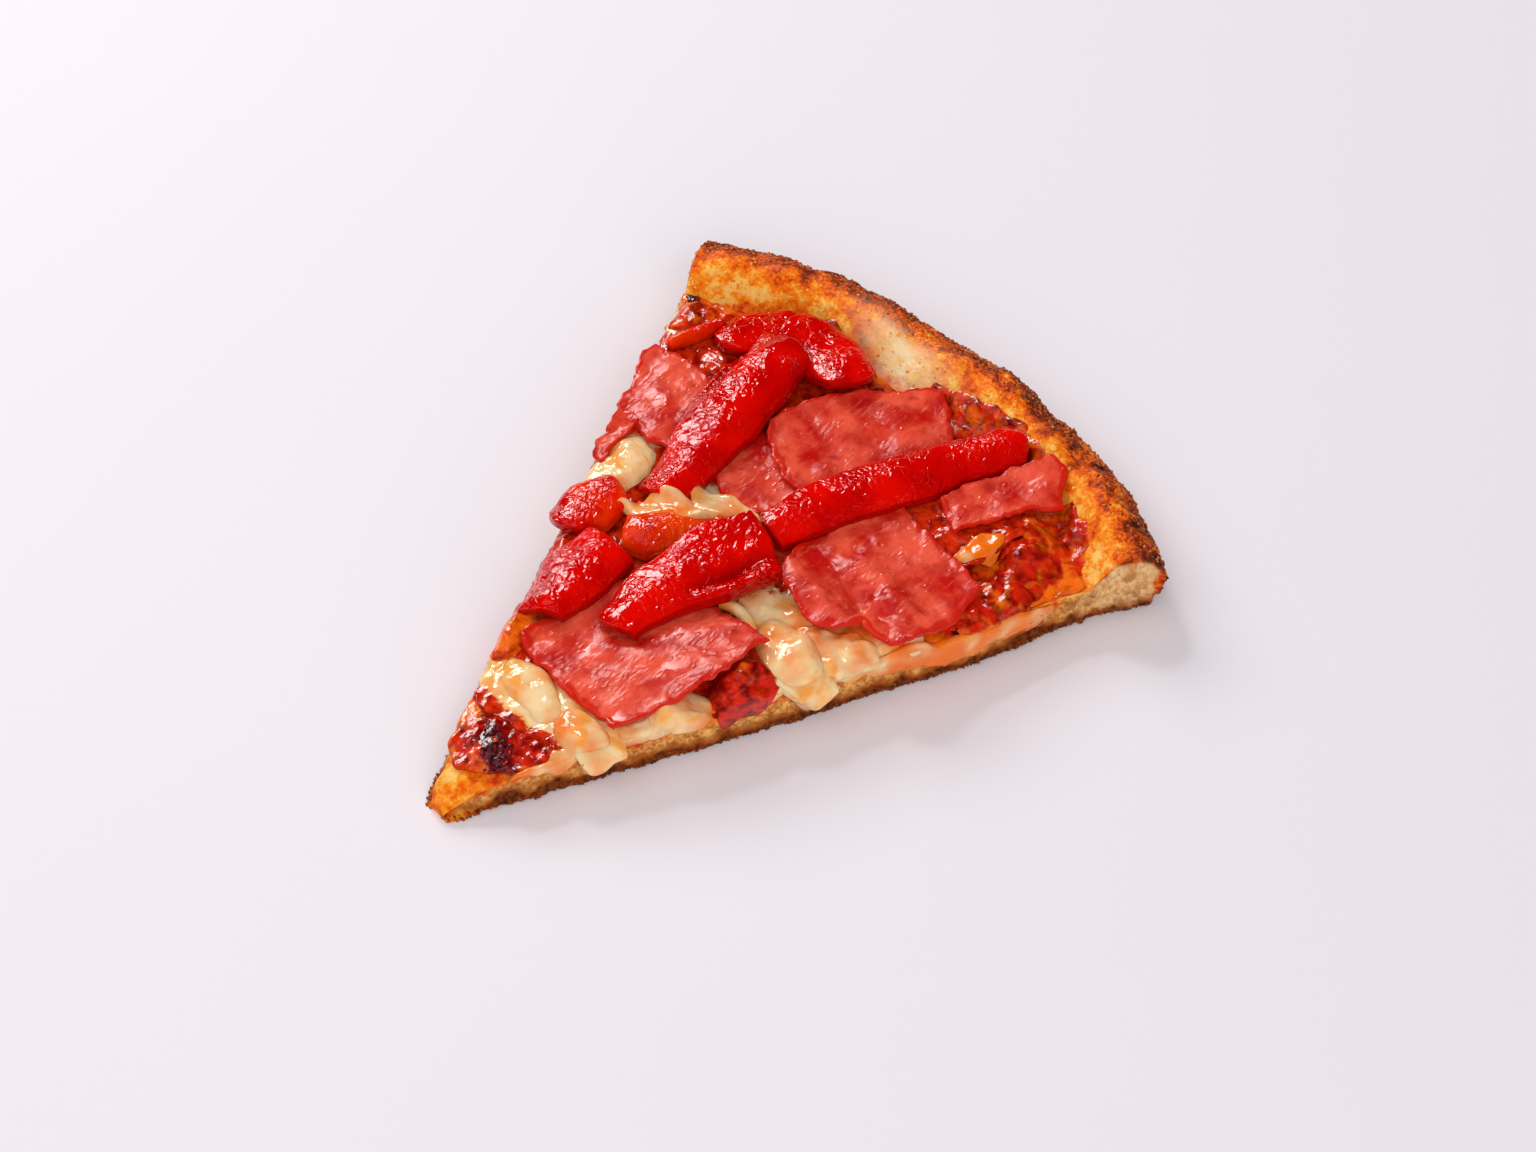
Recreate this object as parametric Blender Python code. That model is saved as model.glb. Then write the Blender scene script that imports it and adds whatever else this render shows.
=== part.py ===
"""Ham and pepper pizza slice: a thick wheat crust with a raised rim, tomato sauce, melted cheese, ham and red pepper.

Lengths are in millimetres and become metres when a mesh is made. Places are measured from the tip of the slice:
x across it, y along it towards the rim, and z up from the flat underside.
"""

import math

import bmesh
import bpy
import numpy as np
from mathutils.bvhtree import BVHTree

MM = 0.001
GAP = 0.3  # clearance between pieces that lie on each other
MIDDLE = (-0.879, 90.885)  # the middle of the finished slice, seen from above

# The slice
SIDE = 180.0  # from the tip to the outside of the rim
HALF_ANGLE = math.radians(24.85)
TIP_BACK = 4.5  # the two cuts would meet this far beyond the blunt tip
TIP_THICK = 5.0  # the dough thins out at the very tip
BASE_AT_TIP = 8.3
BASE_AT_RIM = 10.2
RIM_WIDTH = 19.5
RIM_CREST = 19.0
RIM_FALL = 9.0  # the rim rolls over to its outer wall across this width
RIM_SHOULDER = 0.72  # height of the outer wall, as a share of the crest
RIM_UNDERCUT = 5.5
TIP_RADIUS = 5.0  # from where the cuts would meet to the blunt tip
INNER_SHARE = 0.7  # share of the crust's rows between the tip and the rim

# The layers
SAUCE_THICK = 1.0
CHEESE_THICK = 1.8
CHEESE_RELIEF = 0.55
HAM_THICK = 1.5
PEPPER_THICK = 3.1

DRIP_STANDS_OFF = 1.0  # from the cut to a hanging drip of cheese
DRIP_BULB = 1.9  # how much a drip swells on its way down
HANGING = 0.86  # columns of the cheese beyond this share of its width hang

WAVES = 28  # cosine waves in a lumpy surface
BED_STEP = 0.6  # spacing of the heights kept for what is already laid


def ease(value, start, end):
    """A smooth step from 0 at start to 1 at end."""
    t = np.clip((value - start) / (end - start), 0.0, 1.0)
    return t * t * (3 - 2 * t)


def bump(value, middle, width):
    """A smooth hump of height 1, about twice width across."""
    return np.exp(-(((value - middle) / width) ** 2))


def lumps(x, y, z, size, seed):
    """A smooth random height between about -1 and 1 at each point, with humps about size apart."""
    rng = np.random.default_rng(seed)
    turns = rng.normal(size=(WAVES, 3))
    turns /= np.linalg.norm(turns, axis=1, keepdims=True)
    turns *= rng.uniform(0.6, 1.5, (WAVES, 1)) * 2 * math.pi / size
    starts = rng.uniform(0, 2 * math.pi, WAVES)
    points = np.stack(np.broadcast_arrays(x, y, z), axis=-1)
    return np.cos(points @ turns.T + starts).sum(axis=-1) / math.sqrt(2 * WAVES)


def cut_x(y, side):
    """Where the left (-1) or right (1) cut of the slice lies, at a given distance from the tip."""
    straight = (y + TIP_BACK) * math.tan(HALF_ANGLE)
    left = 0.6 + 0.7 * bump(y, 100, 15) + 0.8 * bump(y, 40, 12)
    right = 1.2 - 1.4 * ease(y, 70, 108) - 3.2 * bump(y, 141, 16)
    return side * (straight + np.where(side < 0, left, right))


def base_top(y):
    """Height of the crust under the sauce."""
    thinned = (BASE_AT_TIP - TIP_THICK) * ease(y, 16, -2)
    return BASE_AT_TIP + (BASE_AT_RIM - BASE_AT_TIP) * ease(y, 20, 120) - thinned


def make_material(name, colour, roughness):
    """A plain Principled material."""
    material = bpy.data.materials.new(name)
    material.use_nodes = True
    shader = material.node_tree.nodes["Principled BSDF"]
    shader.inputs["Base Color"].default_value = (*colour, 1.0)
    shader.inputs["Roughness"].default_value = roughness
    shader.inputs["Metallic"].default_value = 0.0
    material.diffuse_color = (*colour, 1.0)
    return material


def make_block(cells):
    """The closed skin of a box of unit size, as a bmesh: a plane grid extruded one layer at a time."""
    skin = bmesh.new()
    bmesh.ops.create_grid(skin, x_segments=cells[0], y_segments=cells[1], size=0.5)
    bmesh.ops.translate(skin, verts=skin.verts, vec=(0.5, 0.5, 0.0))
    layer = list(skin.faces)
    for step in range(cells[2]):
        result = bmesh.ops.extrude_face_region(skin, geom=layer)
        if step:
            bmesh.ops.delete(skin, geom=layer, context="FACES")
        layer = [item for item in result["geom"] if isinstance(item, bmesh.types.BMFace)]
        top = [item for item in result["geom"] if isinstance(item, bmesh.types.BMVert)]
        bmesh.ops.translate(skin, verts=top, vec=(0.0, 0.0, 1.0 / cells[2]))
    bmesh.ops.recalc_face_normals(skin, faces=skin.faces)
    return skin


def fractions(skin):
    """Where each corner of the block is along it, across it and up it, from 0 to 1."""
    return np.array([corner.co[:] for corner in skin.verts]).T


def finish_piece(name, skin, points, material, holder, sharp=60):
    """Move the block's corners to points, and make it the object of one node."""
    for corner, point in zip(skin.verts, points * MM):
        corner.co = point
    if skin.calc_volume(signed=True) < 0:
        bmesh.ops.reverse_faces(skin, faces=skin.faces)
    mesh = bpy.data.meshes.new(name)
    skin.to_mesh(mesh)
    skin.free()
    mesh.shade_smooth()
    mesh.set_sharp_from_angle(angle=math.radians(sharp))
    mesh.materials.append(material)
    piece = bpy.data.objects.new(name, mesh)
    bpy.context.scene.collection.objects.link(piece)
    piece.parent = holder
    return piece


class Bed:
    """The highest point of everything laid so far, kept on a square grid."""

    def __init__(self):
        self.x = np.arange(-95.0, 95.0, BED_STEP)
        self.y = np.arange(-15.0, 200.0, BED_STEP)
        self.height = np.zeros((len(self.x), len(self.y)))

    def add(self, piece):
        """Cast rays straight down on a piece's real facets."""
        corners = [vertex.co / MM for vertex in piece.data.vertices]
        tree = BVHTree.FromPolygons(corners, [face.vertices[:] for face in piece.data.polygons])
        lowest = np.min(corners, axis=0)
        highest = np.max(corners, axis=0)
        for i in np.flatnonzero((self.x > lowest[0] - 1) & (self.x < highest[0] + 1)):
            for j in np.flatnonzero((self.y > lowest[1] - 1) & (self.y < highest[1] + 1)):
                hit = tree.ray_cast((self.x[i], self.y[j], 100.0), (0, 0, -1))[0]
                if hit is not None and hit.z > self.height[i, j]:
                    self.height[i, j] = hit.z

    def at(self, x, y):
        """The highest point within about one grid step of each place."""
        i = np.rint((x - self.x[0]) / BED_STEP).astype(int)
        j = np.rint((y - self.y[0]) / BED_STEP).astype(int)
        around = [self.height[i + di, j + dj] for di in (-1, 0, 1) for dj in (-1, 0, 1)]
        return np.max(around, axis=0)


def facet_samples(skin):
    """The corners of every facet, and weights of places spread over it."""
    triangles = np.array([[loop.vert.index for loop in loops] for loops in skin.calc_loop_triangles()])
    steps = 6
    weights = [(i, j, steps - i - j) for i in range(steps + 1) for j in range(steps + 1 - i)]
    return triangles, np.array(weights) / steps


def settle(skin, points, column, lift, bed, free):
    """Raise the columns of a block until none of its facets cuts into the bed."""
    skin.verts.index_update()
    triangles, weights = facet_samples(skin)
    for _ in range(60):
        placed = points.copy()
        placed[:, 2] += lift[column]
        samples = np.einsum("sk,tkd->tsd", weights, placed[triangles])
        short = bed.at(samples[..., 0], samples[..., 1]) + GAP - samples[..., 2]
        short[free[column[triangles]].any(axis=1)] = 0.0
        if short.max() < 0.005:
            break
        raised = np.zeros_like(lift)
        for k in range(3):
            need = np.where(weights[:, k] >= 0.33, short, 0.0).max(axis=1)
            np.maximum.at(raised, column[triangles[:, k]], need)
        lift = lift + raised
    return lift


def blurred(lift, cells):
    """Each column's lift averaged with its neighbours'."""
    sheet = np.pad(lift.reshape(cells[0] + 1, cells[1] + 1), 1, mode="edge")
    rows = (sheet[:-2] + 2 * sheet[1:-1] + sheet[2:]) / 4
    return ((rows[:, :-2] + 2 * rows[:, 1:-1] + rows[:, 2:]) / 4).ravel()


def highest_near(lift, cells):
    """The highest lift among each column and its neighbours."""
    sheet = np.pad(lift.reshape(cells[0] + 1, cells[1] + 1), 1, mode="edge")
    rows = np.maximum(np.maximum(sheet[:-2], sheet[1:-1]), sheet[2:])
    return np.maximum(np.maximum(rows[:, :-2], rows[:, 1:-1]), rows[:, 2:]).ravel()


def lay(name, cells, shape, bed, material, holder, stiff=0, droop=0.8, free=None):
    """Lay a piece on the bed. shape gives x, y and the height over its support for each place in the block.

    An edge that nothing holds up hangs by no more than droop from one column to the next.
    """
    skin = make_block(cells)
    bmesh.ops.triangulate(skin, faces=skin.faces, quad_method="FIXED")
    a, b, c = fractions(skin)
    points = np.stack(shape(a, b, c), axis=-1)
    column = np.rint(a * cells[0]).astype(int) * (cells[1] + 1) + np.rint(b * cells[1]).astype(int)
    fixed = np.zeros((cells[0] + 1) * (cells[1] + 1), dtype=bool)
    lift = np.zeros(len(fixed))
    low = c < 0.01
    lift[column[low]] = bed.at(points[low, 0], points[low, 1]) + GAP
    if free is not None:
        held, level = free(a[low], b[low])
        fixed[column[low]] = held
        lift[column[low]] = np.where(held, level, lift[column[low]])
    for _ in range(3):
        lift = np.maximum(lift, highest_near(lift, cells) - droop)
    lift = settle(skin, points, column, lift, bed, fixed)
    for _ in range(stiff):
        lift = np.where(fixed, lift, np.maximum(lift, blurred(lift, cells)))
    points[:, 2] += lift[column]
    piece = finish_piece(name, skin, points, material, holder)
    bed.add(piece)
    return piece


def rounded(a, b, share=0.45):
    """A square's places from -1 to 1, drawn in so that its corners are round."""
    u = 2 * a - 1
    v = 2 * b - 1
    return u * np.sqrt(1 - share * v * v / 2), v * np.sqrt(1 - share * u * u / 2)


def patch(corners, bulges):
    """A four-sided outline with curved sides, as a function of places from -1 to 1 along and across.

    corners go round from the front left; bulges say how far the front, right, back and left sides bow out.
    """
    front_left, front_right, back_right, back_left = np.array(corners, dtype=float)
    centre = np.mean(corners, axis=0)

    def place(u, v):
        s = ((u + 1) / 2)[:, None]
        t = ((v + 1) / 2)[:, None]
        flat = (1 - t) * ((1 - s) * front_left + s * front_right) + t * ((1 - s) * back_left + s * back_right)
        ends = [
            (front_left, front_right, 1 - t, s),
            (front_right, back_right, s, t),
            (back_left, back_right, t, s),
            (front_left, back_left, 1 - s, t),
        ]
        for (start, end, near, along), bulge in zip(ends, bulges):
            out = (start + end) / 2 - centre
            out /= np.linalg.norm(out)
            flat = flat + bulge * 4 * along * (1 - along) * near * out
        return flat[:, 0], flat[:, 1]

    return place


def ham_shape(corners, bulges, curls=(), seed=1):
    """A limp piece of cooked ham. Each curl is (u, v, direction in degrees, reach, rise)."""
    outline = patch(corners, bulges)

    def shape(a, b, c):
        u, v = rounded(a, b, 0.25)
        x, y = outline(u, v)
        rim = np.maximum(np.abs(u), np.abs(v)) ** 6
        shrink = 1 - 0.03 * np.abs(2 * c - 1) * rim
        middle = np.mean(corners, axis=0)
        x = middle[0] + (x - middle[0]) * shrink
        y = middle[1] + (y - middle[1]) * shrink
        rise = 0.35 * (lumps(x, y, 0, 14, seed) + 1)
        for at_u, at_v, heading, reach, height in curls:
            along = (u - at_u) * math.cos(math.radians(heading)) + (v - at_v) * math.sin(math.radians(heading))
            rise = rise + height * ease(along, 0, reach)
        body = HAM_THICK * (1 - 0.35 * rim)
        return x, y, rise + HAM_THICK * 0.5 + (c - 0.5) * body

    return shape


def pepper_shape(route, widths, arch, thick=PEPPER_THICK, ends=(0.0, 0.0), cup=0.0, seed=1):
    """A strip of cooked pepper along a route, skin side up. ends lift its two ends, and cup turns up its sides."""
    route = np.array(route, dtype=float)
    knots = np.linspace(0, 1, len(route))
    fit = min(len(route) - 1, 3)
    line_x = np.polyfit(knots, route[:, 0], fit)
    line_y = np.polyfit(knots, route[:, 1], fit)

    def shape(a, b, c):
        u, v = rounded(a, b, 0.4)
        along = (u + 1) / 2
        width = np.interp(along, np.linspace(0, 1, len(widths)), widths)
        step_x = np.polyval(np.polyder(line_x), along)
        step_y = np.polyval(np.polyder(line_y), along)
        length = np.hypot(step_x, step_y)
        edge = np.maximum(np.abs(v), np.abs(u) ** 3)
        half = v * width / 2 * (1 - 0.10 * c * edge**4)
        x = np.polyval(line_x, along) + half * step_y / length
        y = np.polyval(line_y, along) - half * step_x / length
        hump = arch * (1 - v * v) + cup * along * np.abs(v) ** 3
        hump = hump + ends[0] * (1 - along) ** 3 + ends[1] * along**3
        hump = hump + 0.3 * lumps(x, y, 0, 11, seed)
        body = thick * np.sqrt(np.clip(1 - 0.72 * edge**4, 0.05, 1))
        return x, y, np.maximum(hump, 0) + c * body

    return shape


def chunk_shape(middle, size, height, turn, seed):
    """A soft lump of tomato."""
    angle = math.radians(turn)

    def shape(a, b, c):
        u, v = rounded(a, b, 0.95)
        edge = np.clip(u * u + v * v, 0, 1)
        swell = 1 + 0.12 * lumps(u * 5, v * 5, c * 4, 5, seed)
        p = u * size[0] / 2 * swell * (1 - 0.12 * c)
        q = v * size[1] / 2 * swell * (1 - 0.12 * c)
        x = middle[0] + p * math.cos(angle) - q * math.sin(angle)
        y = middle[1] + p * math.sin(angle) + q * math.cos(angle)
        return x, y, c * height * (1 - 0.75 * edge**2)

    return shape


def crust_points(a, b, c):
    """The dough's places: a along it from the tip, b across it from -1 to 1, and c up it."""
    reach = SIDE + TIP_BACK + 1.2 - 2.7 * ease(np.abs(b), 0.55, 1.0)
    inner = reach - RIM_WIDTH - 4
    near = TIP_RADIUS + (inner - TIP_RADIUS) * a / INNER_SHARE
    far = inner + (reach - inner) * (a - INNER_SHARE) / (1 - INNER_SHARE)
    radius = np.where(a < INNER_SHARE, near, far)
    angle = b * HALF_ANGLE
    y = radius * np.cos(angle) - TIP_BACK
    x = radius * np.sin(angle)
    crest = RIM_CREST + 1.3 * lumps(x, y, 0, 17, 11) - 1.5 * bump(angle, -0.08, 0.06)
    top = base_top(y) + (crest - base_top(y)) * ease(radius, reach - RIM_WIDTH, reach - 0.5 * RIM_WIDTH)
    over = np.clip((radius - reach + RIM_FALL) / RIM_FALL, 0, 1)
    top = top * (1 - (1 - RIM_SHOULDER) * over**2.2)
    top = top + 0.35 * lumps(x, y, 0, 9, 12) * ease(radius, 12, 30)
    swell = 0.9 * np.sin(math.pi * c) + 0.7 * lumps(x, y, 0, 13, 13)
    radius = radius + ease(a, 0.97, 1.0) * (swell - RIM_UNDERCUT * (1 - c) ** 2.5)
    y = radius * np.cos(angle) - TIP_BACK
    x = radius * np.sin(angle)
    side = np.where(b < 0, -1.0, 1.0)
    x = x + (cut_x(y, side) - side * (y + TIP_BACK) * math.tan(HALF_ANGLE)) * b * b
    inset = 0.7 * c**6 + 0.4 * (1 - c) ** 4 + 2.6 * ease(y, 128, 165) * (1 - c) ** 1.5 * (side > 0)
    uneven = 0.3 * lumps(x, y, c * top, 7, 14) * np.sin(math.pi * c)
    x = x + side * np.abs(b) ** 12 * (uneven - inset)
    return np.stack((x, y, c * top), axis=-1)


def widen_underside(skin, rows_along):
    """Join the facets of the flat underside row by row, and give back the corners that stay."""
    rows = {}
    for facet in skin.faces:
        if all(corner.co.z < 0.001 for corner in facet.verts):
            row = round(facet.calc_center_median().x * rows_along - 0.5)
            rows.setdefault(row, []).append(facet)
    for facets in rows.values():
        bmesh.ops.dissolve_faces(skin, faces=facets)
    low = [corner for corner in skin.verts if corner.co.z < 0.001]
    loose = {corner for corner in low if 0.001 < corner.co.x < 0.999 and 0.001 < corner.co.y < 0.999}
    kept = [index for index, corner in enumerate(skin.verts) if corner not in loose]
    bmesh.ops.dissolve_verts(skin, verts=list(loose))
    return kept


def make_crust(bed, holder):
    """The dough: a wedge with a flat underside, two rough cuts and a lumpy rim that rolls over to its outer wall."""
    cells = (50, 24, 3)
    skin = make_block(cells)
    a, b, c = fractions(skin)
    points = crust_points(a, 2 * b - 1, c)
    kept = widen_underside(skin, cells[0])
    crumb = make_material("baked_crust", (0.72, 0.30, 0.07), 0.75)
    piece = finish_piece("crust", skin, points[kept], crumb, holder, sharp=50)
    bed.add(piece)


def slab_shape(start, left, right, back, thick, seed, relief):
    """A spread layer between two edges. left and right give its limits across at each distance from the tip."""

    def shape(a, b, c):
        v = 2 * b - 1
        y = start(v) + a * (back(v) - start(v))
        x = left(y) + b * (right(y) - left(y))
        edge = np.maximum(np.abs(v) ** 10, np.abs(2 * a - 1) ** 16)
        body = thick * (1 - 0.55 * edge) + relief * (lumps(x, y, 0, 12, seed) + 0.4) * (1 - edge)
        return x, y, c * body

    return shape


def make_sauce(bed, holder):
    """Tomato sauce, spread over the crust to both cuts."""
    shape = slab_shape(
        start=lambda v: 9 + 3 * v + 5 * v * v,
        left=lambda y: cut_x(y, -1) + 1.0,
        right=lambda y: cut_x(y, 1) - 1.1,
        back=lambda v: 160 - 15 * v * v,
        thick=SAUCE_THICK,
        seed=21,
        relief=0.2,
    )
    sauce = make_material("tomato_sauce", (0.42, 0.03, 0.01), 0.35)
    lay("tomato_sauce", (28, 12, 1), shape, bed, sauce, holder)


def cheese_right(y):
    """The right edge of the cheese: out to the cut in three tongues, and drawn back between them."""
    edge = cut_x(y, 1)
    back = 13 * bump(y, 63, 7.5) + 17 * ease(y, 104, 116) + 3 * ease(y, 130, 150) - 1.5 * bump(y, 118, 8)
    return edge - 1.2 - back


def drip(y):
    """How far the cheese hangs down the right cut."""
    return 6.5 * bump(y, 31, 5) + 8.0 * bump(y, 78.5, 3.8)


def make_cheese(bed, holder):
    """Melted cheese, with two thick drips over the right cut."""

    def place_along(a, b):
        v = 2 * b - 1
        start = 24 + 3 * v + 2 * v * v
        return start + a * (157 - 14 * v * v - start)

    def shape(a, b, c):
        y = place_along(a, b)
        left = cut_x(y, -1) + 1.4
        limit = cheese_right(y)
        hang = np.clip((b - HANGING) / (1 - HANGING), 0, 1)
        flow = ease(drip(y), 0.3, 2.0)
        x_top = left + np.minimum(b / HANGING, 1) * (limit - left)
        edge = np.maximum(np.clip(1 - b / 0.04, 0, 1), np.abs(2 * a - 1) ** 16)
        body = CHEESE_THICK * (1 - 0.5 * edge) + CHEESE_RELIEF * (lumps(x_top, y, 0, 13, 31) + 0.2) * (1 - edge)
        body = np.maximum(body, 0.7)
        still_x = x_top + 1.8 * hang
        still_z = c * body * (1 - 0.6 * hang)
        bulb = 1.7 + DRIP_BULB * np.sin(math.pi * hang**1.6 * 0.72)
        turn = ease(hang, 0.0, 0.34) * math.pi / 2
        out = cut_x(y, 1) + DRIP_STANDS_OFF - x_top
        flow_x = x_top + out * ease(hang, 0, 0.34) + c * bulb * np.sin(turn) * (1 - 0.45 * hang**6)
        fall = drip(y) * np.clip((hang - 0.34) / 0.66, 0, 1)
        flow_z = c * body * np.cos(turn) - fall - c * (1 - hang) * 0.2 + 1.2 * c * hang**6
        x = still_x + (flow_x - still_x) * flow
        z = still_z + (flow_z - still_z) * flow
        return x, y, z

    def free(a, b):
        y = place_along(a, b)
        held = (b > HANGING + 0.02) & (drip(y) > 0.4)
        return held, base_top(y) + SAUCE_THICK + 1.2

    cheese = make_material("melted_cheese", (0.86, 0.52, 0.17), 0.4)
    lay("melted_cheese", (36, 18, 2), shape, bed, cheese, holder, free=free)


def make_tomato(bed, holder):
    """Two lumps of tomato in the sauce."""
    tomato = make_material("tomato_flesh", (0.70, 0.09, 0.02), 0.35)
    lay("tomato_chunk_front", (5, 4, 2), chunk_shape((29.5, 67), (12, 8), 4.5, 55, 41), bed, tomato, holder, stiff=2)
    lay("tomato_chunk_back", (6, 4, 2), chunk_shape((48, 142), (15, 8), 4.5, 72, 42), bed, tomato, holder, stiff=2)


HAM = {
    # corners from the front left round to the back left, how far the sides bow out, and curls
    "ham_front": ([(-17.5, 40.5), (20, 36), (29.5, 80), (-10, 75)], (0.5, 1.5, 0.5, 0), [(0.7, 0.0, 0, 0.3, 1.2)]),
    "ham_under": ([(-20, 105), (3, 104), (-1, 120), (-21, 125)], (1, 0, 0, 1), []),
    "ham_centre": ([(-20.5, 124), (1, 114), (16.5, 151), (2.5, 165)], (1, 2, 1.5, 6), [(-0.6, 0, 180, 0.4, 1.6)]),
    "ham_left": ([(-50.5, 103.5), (-30, 103.5), (-36, 128), (-61, 127)], (0, 0, 0, 1), [(-0.6, 0, 180, 0.4, 0.8)]),
    "ham_flap": ([(-40.5, 88), (-36.5, 89), (-41.8, 105), (-50, 105.5)], (0, 0, 0, 1), [(-0.2, 0, 180, 1.0, 1.0)]),
    "ham_folded": (
        [(12.5, 96), (51.5, 100), (50.5, 126), (16.5, 131.5)],
        (8.5, 1.5, 0.5, 2),
        [(0, -0.35, 270, 0.5, 2.6), (0.6, 0, 0, 0.4, 1.0)],
    ),
    "ham_by_rim": (
        [(25.5, 136), (34.5, 132.5), (47.5, 156.5), (37, 166)],
        (0, 0, 1.5, 1),
        [(-0.3, 0, 180, 0.7, 1.2)],
    ),
}
HAM_CELLS = {"ham_flap": (4, 8, 1), "ham_by_rim": (6, 10, 1), "ham_under": (8, 7, 1)}

PEPPERS = {
    # cells, middle line, widths along it, how far the middle stands up, and whatever else a strip has
    "pepper_left_edge": ((6, 4, 1), [(-33.5, 70), (-33, 79), (-31, 88)], (8, 9, 6), 1.0, {"thick": 2.6}),
    "pepper_by_cheese": ((8, 5, 1), [(-21, 79), (-12, 87), (-4, 97)], (11, 15, 9), 1.6, {"thick": 2.8}),
    "pepper_stub": ((8, 6, 2), [(-16, 47), (-19.2, 61), (-19.8, 74)], (12, 19, 17), 2.2, {}),
    "pepper_cupped": (
        (12, 6, 2),
        [(0, 55.5), (-0.8, 68), (2.3, 80), (9, 98)],
        (10.5, 15.5, 18.5, 24.5, 24.5),
        1.8,
        {"ends": (0.0, 1.6), "cup": 2.6},
    ),
    "pepper_rim_left": ((7, 6, 2), [(-45, 139), (-44, 148), (-42, 157)], (12, 16, 13), 1.6, {"thick": 3.0}),
    "pepper_rim_right": ((8, 6, 2), [(-37, 154.5), (-26, 153), (-12.5, 150)], (10, 14.5, 12), 1.8, {"thick": 3.0}),
    "pepper_long_left": (
        (14, 6, 2),
        [(-22, 90.5), (-25.3, 107), (-29.5, 124), (-33.2, 147)],
        (12, 16.5, 19.5, 23.5, 13),
        2.4,
        {},
    ),
    "pepper_long_right": (
        (15, 5, 2),
        [(4.3, 101.3), (9.6, 120), (16.8, 140.3), (27.3, 164.5)],
        (11.5, 14, 14, 14.5, 13),
        2.4,
        {},
    ),
    "pepper_sliver": ((7, 3, 1), [(-57, 128), (-55.5, 135), (-52.5, 143)], (4.5, 5.5, 4.5), 0.8, {"thick": 2.0}),
}


def make_ham(bed, holder):
    """The ham: limp rose-coloured pieces with curled edges, in the order in which they lie on each other."""
    ham = make_material("cooked_ham", (0.66, 0.12, 0.09), 0.42)
    for seed, (name, (corners, bulges, curls)) in enumerate(HAM.items(), 51):
        shape = ham_shape(corners, bulges, curls, seed)
        lay(name, HAM_CELLS.get(name, (9, 9, 1)), shape, bed, ham, holder, stiff=1)


def make_peppers(bed, holder):
    """The peppers: thick red strips, skin side up, in the order in which they lie on each other."""
    pepper = make_material("red_pepper", (0.60, 0.01, 0.01), 0.25)
    for seed, (name, (cells, route, widths, arch, more)) in enumerate(PEPPERS.items(), 61):
        shape = pepper_shape(route, widths, arch, seed=seed, **more)
        lay(name, cells, shape, bed, pepper, holder, stiff=3)


def make_slice():
    """The whole slice, from the crust up."""
    holder = bpy.data.objects.new("pizza_slice", None)
    holder.location = (-MIDDLE[0] * MM, -MIDDLE[1] * MM, 0.0)
    bpy.context.scene.collection.objects.link(holder)
    bed = Bed()
    make_crust(bed, holder)
    make_sauce(bed, holder)
    make_tomato(bed, holder)
    make_cheese(bed, holder)
    make_ham(bed, holder)
    make_peppers(bed, holder)


for old in list(bpy.data.objects):
    bpy.data.objects.remove(old, do_unlink=True)
make_slice()
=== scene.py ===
"""The looks of a ham and pepper pizza slice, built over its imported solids.

Shapes are worked out in millimetres and measured from the tip of the slice: x across it, y along it towards the
rim, and z up from its flat underside. They become metres in the shared frame when a mesh is made.
"""

import math

import bpy
import numpy as np
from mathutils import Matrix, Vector, noise


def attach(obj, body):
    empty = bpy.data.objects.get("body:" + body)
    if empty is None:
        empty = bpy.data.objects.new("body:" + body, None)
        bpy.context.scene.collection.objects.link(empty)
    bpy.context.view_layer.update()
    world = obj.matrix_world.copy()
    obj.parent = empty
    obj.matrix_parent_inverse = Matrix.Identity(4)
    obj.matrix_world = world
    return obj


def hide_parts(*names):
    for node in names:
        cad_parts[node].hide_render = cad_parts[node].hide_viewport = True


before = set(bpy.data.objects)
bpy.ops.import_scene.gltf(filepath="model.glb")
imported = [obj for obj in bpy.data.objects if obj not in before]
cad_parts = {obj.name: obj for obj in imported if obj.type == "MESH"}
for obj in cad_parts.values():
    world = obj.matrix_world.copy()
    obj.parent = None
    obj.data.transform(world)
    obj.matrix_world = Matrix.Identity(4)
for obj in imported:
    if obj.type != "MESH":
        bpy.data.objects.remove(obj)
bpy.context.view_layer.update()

MM = 0.001
MIDDLE = (-0.879, 90.885)  # the middle of the finished slice, seen from above

# The slice, with the sizes that its solids have
SIDE = 180.0  # from the tip to the outside of the rim
HALF_ANGLE = math.radians(24.85)
TIP_BACK = 4.5  # the two cuts would meet this far beyond the blunt tip
TIP_RADIUS = 5.0  # from where the cuts would meet to the blunt tip
TIP_THICK = 5.0  # the dough thins out at the very tip
BASE_AT_TIP = 8.3
BASE_AT_RIM = 10.2
RIM_WIDTH = 19.5
RIM_CREST = 19.0
RIM_FALL = 9.0  # the rim rolls over to its outer wall across this width
RIM_SHOULDER = 0.72  # height of the outer wall, as a share of the crest
RIM_UNDERCUT = 5.5
INNER_SHARE = 0.7  # share of the solid crust's rows between the tip and the rim
RIM_SHARE = 0.3  # share of them over the rim
SAUCE_THICK = 1.0
CHEESE_THICK = 1.8
CHEESE_THINNEST = 0.7
CHEESE_RELIEF = 0.55
HANGING = 0.86  # columns of the cheese beyond this share of its width hang
DRIP_STANDS_OFF = 1.0  # from the cut to a hanging drip of cheese
DRIP_NECK = 1.7  # how thick a drip starts
DRIP_BULB = 1.9  # how much it swells on its way down
DRIP_TURN = 0.34  # share of a drip over which it bends down
HAM_THICK = 1.5
PEPPER_THICK = 3.1

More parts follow.
